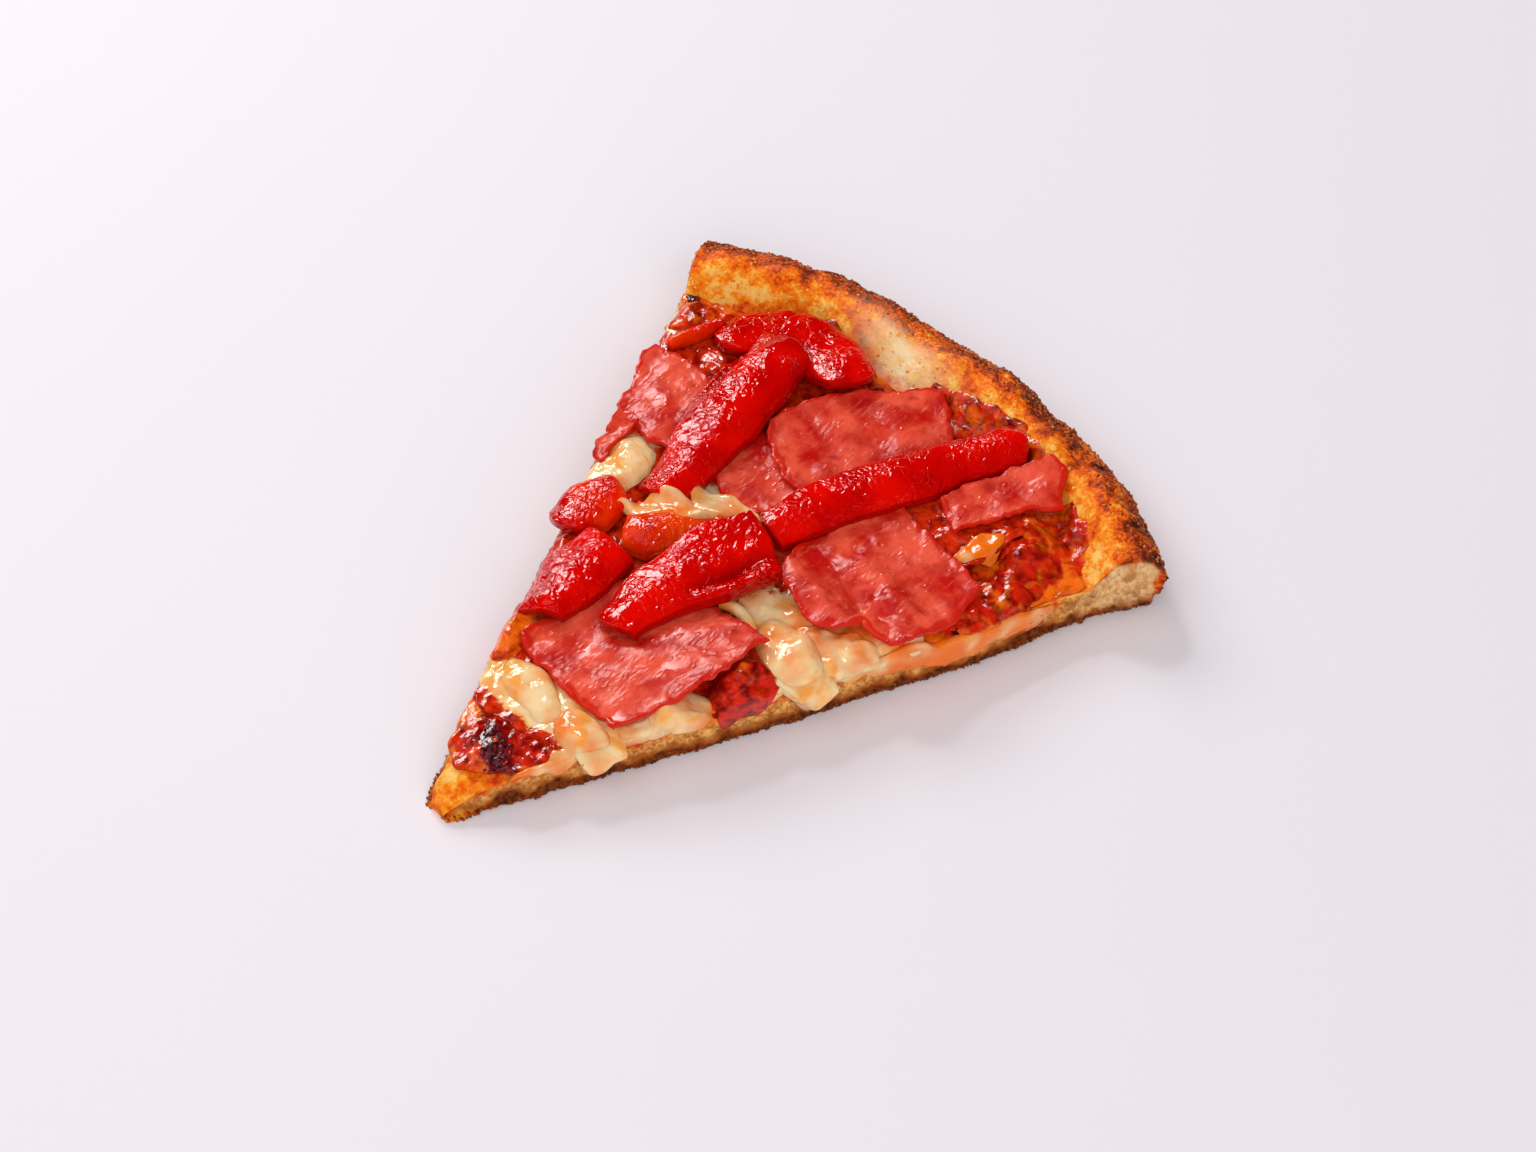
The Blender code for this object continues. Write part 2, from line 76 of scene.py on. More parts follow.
# Where a place belongs
AT_CUT = 0.9999  # places further across the crust than this are on a cut
ON_TOP = 0.999  # places higher than this share of the thickness are on top
UNDERSIDE = 0.001  # and lower than this, on the underside
OUTER_WALL = 0.4  # places nearer the outside than this are on the outer wall
SAME_COLUMN = 0.03  # corners this near each other, seen from above, belong to one column

# How the pieces are made
CRUST_CELLS = (300, 220, 22)
INNER_ROWS = 0.77  # share of the finished crust's rows between the tip and the rim
SINK = 0.45  # how far undersides reach down, so that the pieces touch
SMEAR_STEP = 0.5  # spacing of the corners of a smear
SMEAR_UNDER = 0.9  # how far the underside of a smear lies below what it lies on
WAVES = 28  # cosine waves in a lumpy surface
GROUND_START = (-96.0, -16.0)  # the corner of the grid of heights
GROUND_CELLS = (256, 292)
GROUND_STEP = 0.75


# ---- Shapes -------------------------------------------------------------------------------------------------


def ease(value, start, end):
    """A smooth step from 0 at start to 1 at end."""
    t = np.clip((value - start) / (end - start), 0.0, 1.0)
    return t * t * (3 - 2 * t)


def bump(value, middle, width):
    """A smooth hump of height 1, about twice width across."""
    return np.exp(-(((value - middle) / width) ** 2))


def spot(x, y, middle, size, turn=0.0):
    """A soft oval spot, 1 at its middle."""
    angle = math.radians(turn)
    along = (x - middle[0]) * math.cos(angle) + (y - middle[1]) * math.sin(angle)
    across = (y - middle[1]) * math.cos(angle) - (x - middle[0]) * math.sin(angle)
    return np.exp(-((along / size[0]) ** 2) - (across / size[1]) ** 2)


def spots(x, y, table):
    """Several soft oval spots together, from rows of (strength, middle, size) and a turn where there is one."""
    return sum(strength * spot(x, y, middle, size, *turn) for strength, middle, size, *turn in table)


def lumps(x, y, z, size, seed):
    """A smooth random height between about -1 and 1 at each point, with humps about size apart."""
    rng = np.random.default_rng(seed)
    turns = rng.normal(size=(WAVES, 3))
    turns /= np.linalg.norm(turns, axis=1, keepdims=True)
    turns *= rng.uniform(0.6, 1.5, (WAVES, 1)) * 2 * math.pi / size
    starts = rng.uniform(0, 2 * math.pi, WAVES)
    points = np.stack(np.broadcast_arrays(x, y, z), axis=-1)
    return np.cos(points @ turns.T + starts).sum(axis=-1) / math.sqrt(2 * WAVES)


def rough(points, size, seed, octaves=3):
    """Rough random relief between about -1 and 1, with its largest humps about size apart."""
    start = Vector((seed * 7.31, seed * 3.17, seed * 1.73))
    places = (points / size).tolist()
    return np.array([noise.fractal(Vector(place) + start, 0.9, 2.0, octaves) for place in places])


def pores(points, size, seed, width=0.55):
    """Round hollows about size apart: 1 in the middle of each, and 0 between them."""
    start = Vector((seed * 5.13, seed * 2.91, seed * 4.37))
    places = (points / size).tolist()
    apart = np.array([noise.voronoi(Vector(place) + start)[0][0] for place in places])
    return 1 - ease(apart, 0.15 * width, width)


def cut_x(y, side):
    """Where the left (-1) or right (1) cut of the slice lies, at a given distance from the tip."""
    straight = (y + TIP_BACK) * math.tan(HALF_ANGLE)
    left = 0.6 + 0.7 * bump(y, 100, 15) + 0.8 * bump(y, 40, 12)
    right = 1.2 - 1.4 * ease(y, 70, 108) - 3.2 * bump(y, 141, 16)
    return side * (straight + np.where(side < 0, left, right))


def base_top(y):
    """Height of the crust under the sauce."""
    thinned = (BASE_AT_TIP - TIP_THICK) * ease(y, 16, -2)
    return BASE_AT_TIP + (BASE_AT_RIM - BASE_AT_TIP) * ease(y, 20, 120) - thinned


def block(cells):
    """The closed skin of a box: its corners' places along, across and up it, from 0 to 1, and its facets."""
    counts = np.array(cells) + 1
    steps = np.indices(counts).reshape(3, -1)
    outside = ((steps == 0) | (steps == np.array(cells)[:, None])).any(axis=0)
    number = np.full(steps.shape[1], -1)
    number[outside] = np.arange(outside.sum())
    number = number.reshape(counts)
    facets = []
    for axis in range(3):
        for end in (0, -1):
            sheet = np.take(number, end, axis=axis)
            ring = (sheet[:-1, :-1], sheet[1:, :-1], sheet[1:, 1:], sheet[:-1, 1:])
            quads = np.stack(ring, axis=-1).reshape(-1, 4)
            facets.append(quads[:, ::-1] if (end == 0) != (axis == 1) else quads)
    return steps[:, outside] / np.array(cells)[:, None], np.concatenate(facets)


def corner_normals(points, facets):
    """The outward direction at each corner of a mesh of quads."""
    corners = points[facets]
    across = np.cross(corners[:, 2] - corners[:, 0], corners[:, 3] - corners[:, 1])
    total = np.zeros_like(points)
    for k in range(4):
        np.add.at(total, facets[:, k], across)
    return total / np.maximum(np.linalg.norm(total, axis=1, keepdims=True), 1e-9)


def enclosed(points, facets):
    """Six times the volume inside a mesh of quads, negative where it is inside out."""
    corners = points[facets]
    first = np.einsum("ij,ij->", corners[:, 0], np.cross(corners[:, 1], corners[:, 2]))
    second = np.einsum("ij,ij->", corners[:, 0], np.cross(corners[:, 2], corners[:, 3]))
    return first + second


def to_frame(points):
    """Millimetres from the tip as metres in the shared frame."""
    return (points - (MIDDLE[0], MIDDLE[1], 0.0)) * MM


def from_frame(node):
    """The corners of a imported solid, in millimetres from the tip."""
    corners = np.array([vertex.co[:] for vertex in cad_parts[node].data.vertices])
    return corners / MM + (MIDDLE[0], MIDDLE[1], 0.0)


def make_mesh(name, points, facets, material, marks):
    """A smooth mesh with its material and its marks, which are numbers kept at its corners for the material."""
    mesh = bpy.data.meshes.new(name)
    mesh.from_pydata(to_frame(points).tolist(), [], facets)
    mesh.shade_smooth()
    mesh.materials.append(material)
    for mark, values in marks.items():
        kept = mesh.attributes.new(mark, "FLOAT", "POINT")
        kept.data.foreach_set("value", np.broadcast_to(values, len(points)).astype(np.float32))
    piece = bpy.data.objects.new(name, mesh)
    bpy.context.scene.collection.objects.link(piece)
    return piece


def declare(piece, node=None):
    """Hand a finished piece over to the frame."""
    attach(piece, "root")
    if node is not None:
        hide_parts(node)
    return piece


class Ground:
    """The highest point of everything laid so far, kept on a square grid."""

    def __init__(self):
        self.start = np.array(GROUND_START)
        self.height = np.zeros(GROUND_CELLS)
        self.smooth = {}

    def add(self, points):
        """Take in the corners of a fine mesh."""
        cell = np.rint((points[:, :2] - self.start) / GROUND_STEP).astype(int)
        inside = ((cell > 1) & (cell < np.array(self.height.shape) - 2)).all(axis=1)
        cell = cell[inside]
        np.maximum.at(self.height, (cell[:, 0], cell[:, 1]), points[inside, 2])
        self.smooth = {}

    def smoothed(self, reach):
        """The heights with their gaps filled, averaged over a few grid steps."""
        if reach not in self.smooth:
            near = [np.roll(self.height, step, axis) for axis in (0, 1) for step in (-1, 1)]
            sheet = np.where(self.height > 0, self.height, np.max(near, axis=0))
            for _ in range(reach):
                for axis in (0, 1):
                    sheet = (np.roll(sheet, 1, axis) + 2 * sheet + np.roll(sheet, -1, axis)) / 4
            self.smooth[reach] = sheet
        return self.smooth[reach]

    def at(self, x, y, reach=1):
        """The height at each place, between the grid's own places."""
        sheet = self.smoothed(reach)
        place_x = (x - self.start[0]) / GROUND_STEP
        place_y = (y - self.start[1]) / GROUND_STEP
        i = np.floor(place_x).astype(int)
        j = np.floor(place_y).astype(int)
        s, t = place_x - i, place_y - j
        near = (1 - s) * sheet[i, j] + s * sheet[i + 1, j]
        far = (1 - s) * sheet[i, j + 1] + s * sheet[i + 1, j + 1]
        return (1 - t) * near + t * far


def spline_weights(place, count):
    """The four columns nearest each place from 0 to 1, and how much each counts, for a smooth curve."""
    t = np.clip(place, 0, 1) * count
    first = np.minimum(np.floor(t), count - 1)
    t = t - first
    nearer = 3 * t**3 - 6 * t * t + 4
    further = -3 * t**3 + 3 * t * t + 3 * t + 1
    weights = np.stack(((1 - t) ** 3, nearer, further, t**3), axis=-1) / 6
    columns = np.clip(first[:, None].astype(int) + np.arange(-1, 3), 0, count)
    return columns, weights


def smooth_lift(lift, cells, a, b):
    """Heights kept for the columns of a coarse block, as a smooth height at each place along and across."""
    sheet = lift.reshape(cells[0] + 1, cells[1] + 1)
    rows, row_weights = spline_weights(a, cells[0])
    columns, column_weights = spline_weights(b, cells[1])
    near = sheet[rows[:, :, None], columns[:, None, :]]
    return np.einsum("ni,nij,nj->n", row_weights, near, column_weights)


def read_lift(node, shape, cells, free=None):
    """How high each column of a laid piece stands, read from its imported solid."""
    corners = from_frame(node)
    a, b = np.meshgrid(np.linspace(0, 1, cells[0] + 1), np.linspace(0, 1, cells[1] + 1), indexing="ij")
    a = a.ravel()
    b = b.ravel()
    x, y, rise = shape(a, b, np.ones(a.size))
    apart = np.hypot(x[:, None] - corners[:, 0], y[:, None] - corners[:, 1])
    level = np.where(apart < SAME_COLUMN, corners[:, 2], -np.inf).max(axis=1)
    nearest = corners[apart.argmin(axis=1), 2]
    lift = np.where(np.isfinite(level), level, nearest) - rise
    if free is not None:
        held, known = free(a, b)
        lift = np.where(held, known, lift)
    return lift


def lay(node, coarse, fine, shape, look, material, ground, free=None, fine_shape=None):
    """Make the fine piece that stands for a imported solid, at the heights at which the solid lies.

    shape takes places along, across and up the piece and gives x, y and the height above what carries it. coarse
    and fine say how many cells the solid and the finished piece have each way. look takes the same places and the
    points, and gives a sideways warp, the relief along the normals, and the marks for the material. free says which
    columns hang free. fine_shape is used for the finished piece where that is crisper than the solid.
    """
    lift = read_lift(node, shape, coarse, free)
    (a, b, c), facets = block(fine)
    x, y, z = (fine_shape or shape)(a, b, c)
    z = z + smooth_lift(lift, coarse, a, b) - SINK * (1 - c) ** 2
    points = np.stack((x, y, z), axis=-1)
    if enclosed(points, facets) < 0:
        facets = facets[:, ::-1]
    warp, relief, marks = look(a, b, c, points)
    points = points + warp
    points = points + corner_normals(points, facets) * relief[:, None]
    ground.add(points)
    return declare(make_mesh(node + "_skin", points, facets.tolist(), material, marks), node)


def warped(points, size, amount, seed):
    """A sideways shift that makes an outline uneven."""
    x, y = points[:, 0], points[:, 1]
    return np.stack((amount * lumps(x, y, 0, size, seed), amount * lumps(x, y, 0, size, seed + 1), 0 * x), axis=-1)


def patch(corners, bulges):
    """A four-sided outline with curved sides, as a function of places from -1 to 1 along and across.

    corners go round from the front left; bulges say how far the front, right, back and left sides bow out.
    """
    front_left, front_right, back_right, back_left = np.array(corners, dtype=float)
    centre = np.mean(corners, axis=0)

    def place(u, v):
        s = ((u + 1) / 2)[:, None]
        t = ((v + 1) / 2)[:, None]
        flat = (1 - t) * ((1 - s) * front_left + s * front_right) + t * ((1 - s) * back_left + s * back_right)
        ends = [
            (front_left, front_right, 1 - t, s),
            (front_right, back_right, s, t),
            (back_left, back_right, t, s),
            (front_left, back_left, 1 - s, t),
        ]
        for (start, end, near, along), bulge in zip(ends, bulges):
            out = (start + end) / 2 - centre
            out /= np.linalg.norm(out)
            flat = flat + bulge * 4 * along * (1 - along) * near * out
        return flat[:, 0], flat[:, 1]

    return place


def smear(name, corners, bulges, thick, ground, finish, marks, torn, seed, reach):
    """Something soft that lies over whatever is there, and runs down the right cut where it goes beyond it.

    It thins out to its edges. The more torn it is, the more its top dips below what lies under it, so that only
    its lumps show. Oil gathers at its edges. reach says over how many grid steps the ground under it is smoothed.
    """
    corners = np.array(corners, dtype=float)
    long = max(np.linalg.norm(corners[1] - corners[0]), np.linalg.norm(corners[2] - corners[3]))
    wide = max(np.linalg.norm(corners[3] - corners[0]), np.linalg.norm(corners[2] - corners[1]))
    (a, b, c), facets = block((int(long / SMEAR_STEP) + 3, int(wide / SMEAR_STEP) + 3, 2))
    u, v = rounded(a, b, 0.9)
    x, y = patch(corners, bulges)(u, v)
    # An uneven outline, and how thick the smear is at each place
    lumpy = min(1.0, 0.3 + 3.5 * torn)
    x = x + lumpy * (1.1 * lumps(x, y, 0, 8, seed) + 0.4 * lumps(x, y, 0, 3.4, seed + 1))
    y = y + lumpy * 1.1 * lumps(x, y, 0, 8, seed + 2)
    edge = np.clip(u * u + v * v - 0.5 * u * u * v * v, 0, 1)
    uneven = 0.35 * lumps(x, y, 0, 6, seed + 3) + 0.15 * lumps(x, y, 0, 3, seed + 6)
    body = thick * (1 - edge ** (2 if torn else 4)) * (1 + lumpy * uneven)
    body = body - 0.6 * edge**4
    dips = 0.4 + lumps(x, y, 0, 6.5, seed + 4) + 0.4 * lumps(x, y, 0, 3.2, seed + 5)
    body = np.maximum(body - torn * dips * thick, -0.6)
    # It lies on the ground as far as the cut, and bends down over it beyond
    limit = cut_x(y, 1) - 0.4
    out = np.maximum(x - limit, 0.0)
    over = ease(out, 0.0, 1.2)
    low = ground.at(np.minimum(x, limit - 1.0), y, reach)
    lie_z = low + c * body - SMEAR_UNDER * (1 - c)
    hang_z = low - np.maximum(out - 0.6, 0.0) - 0.2 + (c - 0.5) * 0.2
    hang_x = limit + 0.3 + (c - 0.45) * (body + SMEAR_UNDER)
    x = x + (hang_x - x) * over
    z = lie_z + (hang_z - lie_z) * over
    points = np.stack((x, y, np.maximum(z, 0.4)), axis=-1)
    if enclosed(points, facets) < 0:
        facets = facets[:, ::-1]
    ground.add(points)
    marks["oil"] = marks["oil"] + 0.25 * edge**3
    return declare(make_mesh(name, points, facets.tolist(), finish, marks))


# ---- Node trees ---------------------------------------------------------------------------------------------


def tint(red, green, blue):
    """A colour from its 0 to 255 screen values."""
    screen = np.array([red, green, blue]) / 255
    linear = np.where(screen <= 0.04045, screen / 12.92, ((screen + 0.055) / 1.055) ** 2.4)
    return (*linear.tolist(), 1.0)


class Wire:
    """An output in a node tree. An expression on wires adds Math nodes."""

    def __init__(self, tree, socket):
        self.tree = tree
        self.socket = socket

    def __add__(self, other):
        return self.tree.maths("ADD", self, other)

    def __sub__(self, other):
        return self.tree.maths("SUBTRACT", self, other)

    def __rsub__(self, other):
        return self.tree.maths("SUBTRACT", other, self)

    def __mul__(self, other):
        return self.tree.maths("MULTIPLY", self, other)

    def __pow__(self, other):
        return self.tree.maths("POWER", self, other)

    __radd__ = __add__
    __rmul__ = __mul__


class Tree:
    """A node tree, with one method that adds any node."""

    def __init__(self, tree):
        self.tree = tree

    def node(self, kind, settings=None, inputs=None, output=0):
        """Add a node: first its settings, then the values or wires of its sockets. Gives one output as a wire."""
        made = self.tree.nodes.new(kind)
        for name, value in (settings or {}).items():
            if name == "stops":
                while len(made.color_ramp.elements) < len(value):
                    made.color_ramp.elements.new(1.0)
                for element, (position, colour) in zip(made.color_ramp.elements, value):
                    element.position = position
                    element.color = colour
            else:
                setattr(made, name, value)
        for name, value in (inputs or {}).items():
            if isinstance(value, Wire):
                self.tree.links.new(value.socket, made.inputs[name])
            else:
                made.inputs[name].default_value = value
        return Wire(self, made.outputs[output])

    def maths(self, operation, first, second):
        """A Math node on two values or wires."""
        return self.node("ShaderNodeMath", {"operation": operation}, {0: first, 1: second})


class Finish(Tree):
    """The material of one finish."""

    def __init__(self, name, roughness, soft=0.0, radius=(0.004, 0.001, 0.0006), shine=0.5):
        self.material = bpy.data.materials.new(name)
        self.material.use_nodes = True
        super().__init__(self.material.node_tree)
        self.surface = self.tree.nodes["Principled BSDF"]
        self.surface.inputs["Roughness"].default_value = roughness
        self.surface.inputs["Subsurface Weight"].default_value = soft
        self.surface.inputs["Subsurface Radius"].default_value = radius
        self.surface.inputs["Subsurface Scale"].default_value = 1.0
        self.surface.inputs["Specular IOR Level"].default_value = shine
        self.place = self.node("ShaderNodeTexCoord", output="Object")

    def mark(self, name):
        """A mark kept at the piece's corners."""
        return self.node("ShaderNodeAttribute", {"attribute_name": name}, output="Fac")

    def stretched(self, turn, stretch):
        """Places turned about z by some degrees and then squeezed, for streaks."""
        inputs = {"Vector": self.place, "Rotation": (0.0, 0.0, math.radians(turn)), "Scale": stretch}
        return self.node("ShaderNodeMapping", {"vector_type": "POINT"}, inputs)

    def cloud(self, size, detail=3.0, sharpness=0.6, place=None, twist=0.0):
        """Soft noise from 0 to 1 with blotches about size millimetres wide."""
        inputs = {
            "Vector": place or self.place,
            "Scale": 1 / (size * MM),
            "Detail": detail,
            "Roughness": sharpness,
            "Distortion": twist,
        }
        return self.node("ShaderNodeTexNoise", None, inputs)

    def cells(self, size, place=None):
        """Distance from the nearest of many random places about size millimetres apart."""
        return self.node("ShaderNodeTexVoronoi", None, {"Vector": place or self.place, "Scale": 1 / (size * MM)})

    def plates(self, size, crease):
        """1 on plates about size millimetres wide and 0 in the winding creases between them."""
        inputs = {"Vector": self.place, "Scale": 1 / (1.4 * size * MM), "Detail": 1.0}
        shaken = self.node("ShaderNodeTexNoise", None, inputs, output="Color")
        inputs = {0: shaken, 1: (1.6 * size * MM,) * 3, 2: self.place}
        place = self.node("ShaderNodeVectorMath", {"operation": "MULTIPLY_ADD"}, inputs)
        inputs = {"Vector": place, "Scale": 1 / (size * MM)}
        edge = self.node("ShaderNodeTexVoronoi", {"feature": "DISTANCE_TO_EDGE"}, inputs)
        return self.between(edge, 0.0, crease)

    def between(self, value, start, end):
        """A smooth step on a wire from 0 at start to 1 at end."""
        inputs = {"Value": value, "From Min": start, "From Max": end}
        return self.node("ShaderNodeMapRange", {"interpolation_type": "SMOOTHSTEP"}, inputs)

    def mix(self, share, first, second):
        """One colour turning into another as share goes from 0 to 1."""
        return self.node("ShaderNodeMix", {"data_type": "RGBA"}, {0: share, 6: first, 7: second}, output=2)

    def mottled(self, first, second, size, start, end, detail=3.0, sharpness=0.6, twist=0.0):
        """Two colours in blotches about size millimetres wide. start and end say how they share the noise."""
        share = self.between(self.cloud(size, detail, sharpness, twist=twist), start, end)
        return self.mix(share, first, second)

    def ramp(self, value, stops):
        """A colour for each value, from stops of (value, colour)."""
        return self.node("ShaderNodeValToRGB", {"stops": stops}, {"Fac": value})

    def bumps(self, height, depth, below=None):
        """Relief in the shading, depth millimetres deep for a height of 1."""
        inputs = {"Height": height, "Strength": 1.0, "Distance": depth * MM}
        if below is not None:
            inputs["Normal"] = below
        return self.node("ShaderNodeBump", None, inputs)

    def done(self, colour, relief=None, gloss=None):
        """Join the colour, the relief and the roughness to the surface."""
        self.tree.links.new(colour.socket, self.surface.inputs["Base Color"])
        if relief is not None:
            self.tree.links.new(relief.socket, self.surface.inputs["Normal"])
        if gloss is not None:
            self.tree.links.new(gloss.socket, self.surface.inputs["Roughness"])
        return self.material


def crust_finish():
    """Baked dough: pale crumb, golden skin, dark brown where it is most baked, and stained by sauce."""
    finish = Finish("baked_crust", 0.5, soft=0.1, shine=0.15)
    speckle = finish.cloud(0.8, 3.0, 0.72)
    blotch = finish.cloud(4.5, 4.0, 0.66)
    toast = finish.mark("toast") + (speckle - 0.5) * (finish.mark("speckled") * 1.5 + 0.35) + (blotch - 0.5) * 1.7
    baked = finish.ramp(
        toast,
        [
            (0.0, tint(255, 204, 104)),
            (0.18, tint(255, 152, 20)),
            (0.38, tint(244, 100, 0)),
            (0.56, tint(188, 64, 2)),
            (0.76, tint(118, 36, 2)),
            (1.0, tint(48, 12, 2)),
        ],
    )
    grainy = finish.between(finish.cloud(1.4, 4.0, 0.72), 0.36, 0.64)
    crumb = finish.mix(grainy, tint(190, 100, 34), tint(248, 190, 106))
    crumb = finish.mix(finish.mark("low"), crumb, tint(164, 84, 20))
    # Painted shade: the crumb is painted darker inside its pores
    crumb = finish.mix(finish.mark("hollow"), crumb, tint(132, 62, 16))
    colour = finish.mix(finish.mark("crumb"), baked, crumb)
    colour = finish.mix(finish.mark("foot") * 0.85, colour, finish.mix(grainy, tint(60, 22, 4), tint(136, 66, 18)))
    streak = finish.cloud(2.4, 4.0, 0.65, twist=0.8)
    stain = finish.between(finish.mark("stain") + (streak - 0.5) * 1.3, 0.38, 0.72)
    red = finish.mottled(tint(250, 132, 26), tint(206, 34, 4), 2.0, 0.35, 0.65)
    colour = finish.mix(stain * 0.9, colour, red)
    # The pale dough is also painted darker inside its pores, as painted shade
    light = finish.mix(finish.mark("hollow"), tint(255, 230, 178), tint(206, 138, 70))
    colour = finish.mix(finish.mark("pale") * finish.between(blotch, 0.25, 0.6), colour, light)
    fine = finish.bumps(finish.cloud(0.5, 3.0, 0.7), 0.2)
    relief = finish.bumps(finish.cloud(1.8, 4.0, 0.6), 0.35, fine)
    gloss = 0.6 - finish.mark("stain") * 0.3
    return finish.done(colour, relief, gloss)


def grain_finish(name, first, second):
    """Small baked or charred bits."""
    finish = Finish(name, 0.45, shine=0.4)
    colour = finish.mottled(first, second, 1.5, 0.35, 0.65, 2.0)
    return finish.done(colour, finish.bumps(finish.cloud(0.4, 2.0), 0.15))


def sauce_finish():
    """Cooked tomato sauce: dark red, pulpy and wet, orange where oil lies on it and black where it burnt."""
    finish = Finish("tomato_sauce", 0.16, soft=0.08, radius=(0.002, 0.0004, 0.0002), shine=0.5)
    red = finish.mottled(tint(120, 0, 0), tint(222, 34, 4), 3.2, 0.3, 0.7, 2.0, 0.5, 0.5)
    oil = finish.between(finish.cloud(4.0, 3.0, 0.55, twist=0.4) + finish.mark("oil") * 0.3, 0.52, 0.84)
    red = finish.mix(oil, red, tint(250, 112, 14))
    char = finish.between(finish.mark("char") + (finish.cloud(1.6, 4.0, 0.7) - 0.5) * 0.9, 0.4, 0.62)
    black = finish.mottled(tint(52, 6, 18), tint(132, 26, 34), 0.8, 0.4, 0.7, 2.0)
    colour = finish.mix(char, red, black)
    fine = finish.bumps(finish.cloud(1.5, 1.0, 0.4, twist=0.8), 0.22)
    relief = finish.bumps(finish.cloud(4.0, 1.0, 0.4, twist=0.8), 0.5, fine)
    return finish.done(colour, relief, 0.1 + finish.cloud(1.5, 2.0) * 0.16)


def cheese_finish():
    """Melted cheese: cream to yellow, with orange oil and sauce over parts of it."""
    finish = Finish("melted_cheese", 0.24, soft=0.3, radius=(0.004, 0.002, 0.0008), shine=0.5)
    cream = finish.mottled(tint(255, 218, 164), tint(255, 172, 82), 7.0, 0.38, 0.68, 2.0, 0.5, 0.6)
    oil = finish.between(finish.cloud(8.0, 1.5, 0.45, twist=0.3) + finish.mark("oil") * 0.3, 0.44, 0.9)
    cream = finish.mix(oil, cream, tint(250, 116, 14))
    ragged = finish.cloud(2.4, 4.0, 0.62, twist=0.7)
    sauce = finish.between(finish.mark("sauced") + (ragged - 0.5) * 0.9, 0.42, 0.62)
    red = finish.mottled(tint(140, 2, 0), tint(232, 54, 10), 2.6, 0.3, 0.68, 4.0)
    colour = finish.mix(sauce, cream, red)
    fine = finish.bumps(finish.cloud(1.6, 1.0, 0.4, finish.stretched(12, (0.4, 1.0, 1.0)), 0.6), 0.2)
    relief = finish.bumps(finish.cloud(3.0, 1.0, 0.4, twist=0.8), 0.34, fine)
    return finish.done(colour, relief, 0.06 + finish.cloud(2.0, 2.0) * 0.12)


def tomato_finish():
    """Soft cooked tomato."""
    finish = Finish("tomato_flesh", 0.14, soft=0.15, radius=(0.003, 0.0006, 0.0003), shine=0.5)
    colour = finish.mottled(tint(170, 0, 0), tint(234, 44, 8), 2.6, 0.35, 0.65, 4.0, twist=0.6)
    colour = finish.mottled(colour, tint(250, 132, 36), 1.8, 0.58, 0.72)
    relief = finish.bumps(finish.cloud(2.4, 1.0, 0.4), 0.5, finish.bumps(finish.cloud(1.1, 1.0, 0.4), 0.22))
    return finish.done(colour, relief)


def ham_finish():
    """Cooked ham: rose with fine pale streaks, orange-red at its baked edges, and moist."""
    finish = Finish("cooked_ham", 0.24, soft=0.15, radius=(0.003, 0.0008, 0.0006), shine=0.34)
    streaky = finish.stretched(35, (1.0, 0.16, 1.0))
    streak = finish.cloud(1.2, 4.0, 0.65, streaky, 0.4)
    rose = finish.mottled(tint(196, 14, 6), tint(241, 87, 60), 9.0, 0.32, 0.66, 4.0, 0.55)
    rose = finish.mix(finish.between(streak, 0.55, 0.78) * 0.55, rose, tint(252, 140, 108))
    stain = finish.between(finish.cloud(6.0, 4.0, 0.6), 0.54, 0.74)
    rose = finish.mix(stain * 0.75, rose, tint(182, 4, 2))
    edge = finish.between(finish.mark("edge") + (finish.cloud(2.0, 3.0) - 0.5) * 0.5, 0.35, 0.8)
    colour = finish.mix(edge * 0.85, rose, tint(210, 24, 2))
    wrinkled = finish.between(finish.cloud(8.0, 1.0), 0.46, 0.64) * 0.85 + 0.15
    wet = finish.stretched(50, (1.0, 0.5, 1.0))
    drops = finish.between(finish.cells(1.9, wet), 0.3, 0.08) * finish.between(finish.cloud(5.0, 2.0), 0.34, 0.5)
    crinkle = finish.cloud(1.3, 1.0, 0.4, finish.stretched(20, (1.0, 0.45, 1.0)), 0.8)
    fine = finish.bumps(crinkle * wrinkled * 0.5 + drops * 0.2, 0.7)
    relief = finish.bumps(finish.cloud(4.0, 1.0, 0.4, streaky, 0.5), 0.35, fine)
    matt = finish.between(finish.cloud(8.0, 2.0, 0.5), 0.3, 0.55) * (1 - drops)
    return finish.done(colour, relief, 0.1 + matt * 0.22 + finish.cloud(2.5, 2.0) * 0.06)


def pepper_finish():
    """Roasted red pepper: deep glossy skin, finely wrinkled, orange where the flesh or a cut edge shows."""
    finish = Finish("red_pepper", 0.1, soft=0.1, radius=(0.003, 0.0002, 0.0001), shine=0.4)
    broad = finish.cloud(12.0, 3.0, 0.5)
    red = finish.mix(finish.between(broad, 0.3, 0.7), tint(196, 0, 0), tint(236, 8, 0))
    # Painted shade: the mark named side paints the strip's walls and its sunken creases a deeper red
    red = finish.mix(finish.mark("side") * 0.8, red, tint(158, 0, 0))
    flesh = finish.between(finish.mark("flesh") + (broad - 0.5) * 1.2, 0.35, 0.75)
    red = finish.mix(flesh, red, tint(244, 64, 2))
    edge = finish.between(finish.mark("edge") + (finish.cloud(1.6, 3.0) - 0.5) * 0.8, 0.5, 0.95)
    colour = finish.mix(edge * 0.7, red, tint(244, 60, 4))
    wrinkled = finish.between(finish.cloud(7.0, 1.0), 0.35, 0.6) * 0.8 + 0.2
    plates = finish.plates(2.6, 0.24) * wrinkled
    fine = finish.bumps(plates + finish.cloud(1.4, 1.0, 0.4, twist=1.2) * wrinkled, 0.24)
    relief = finish.bumps(finish.cloud(3.6, 1.0, 0.4, twist=0.6), 0.34, fine)
    return finish.done(colour, relief, 0.05 + finish.cloud(1.8, 2.0) * 0.06)


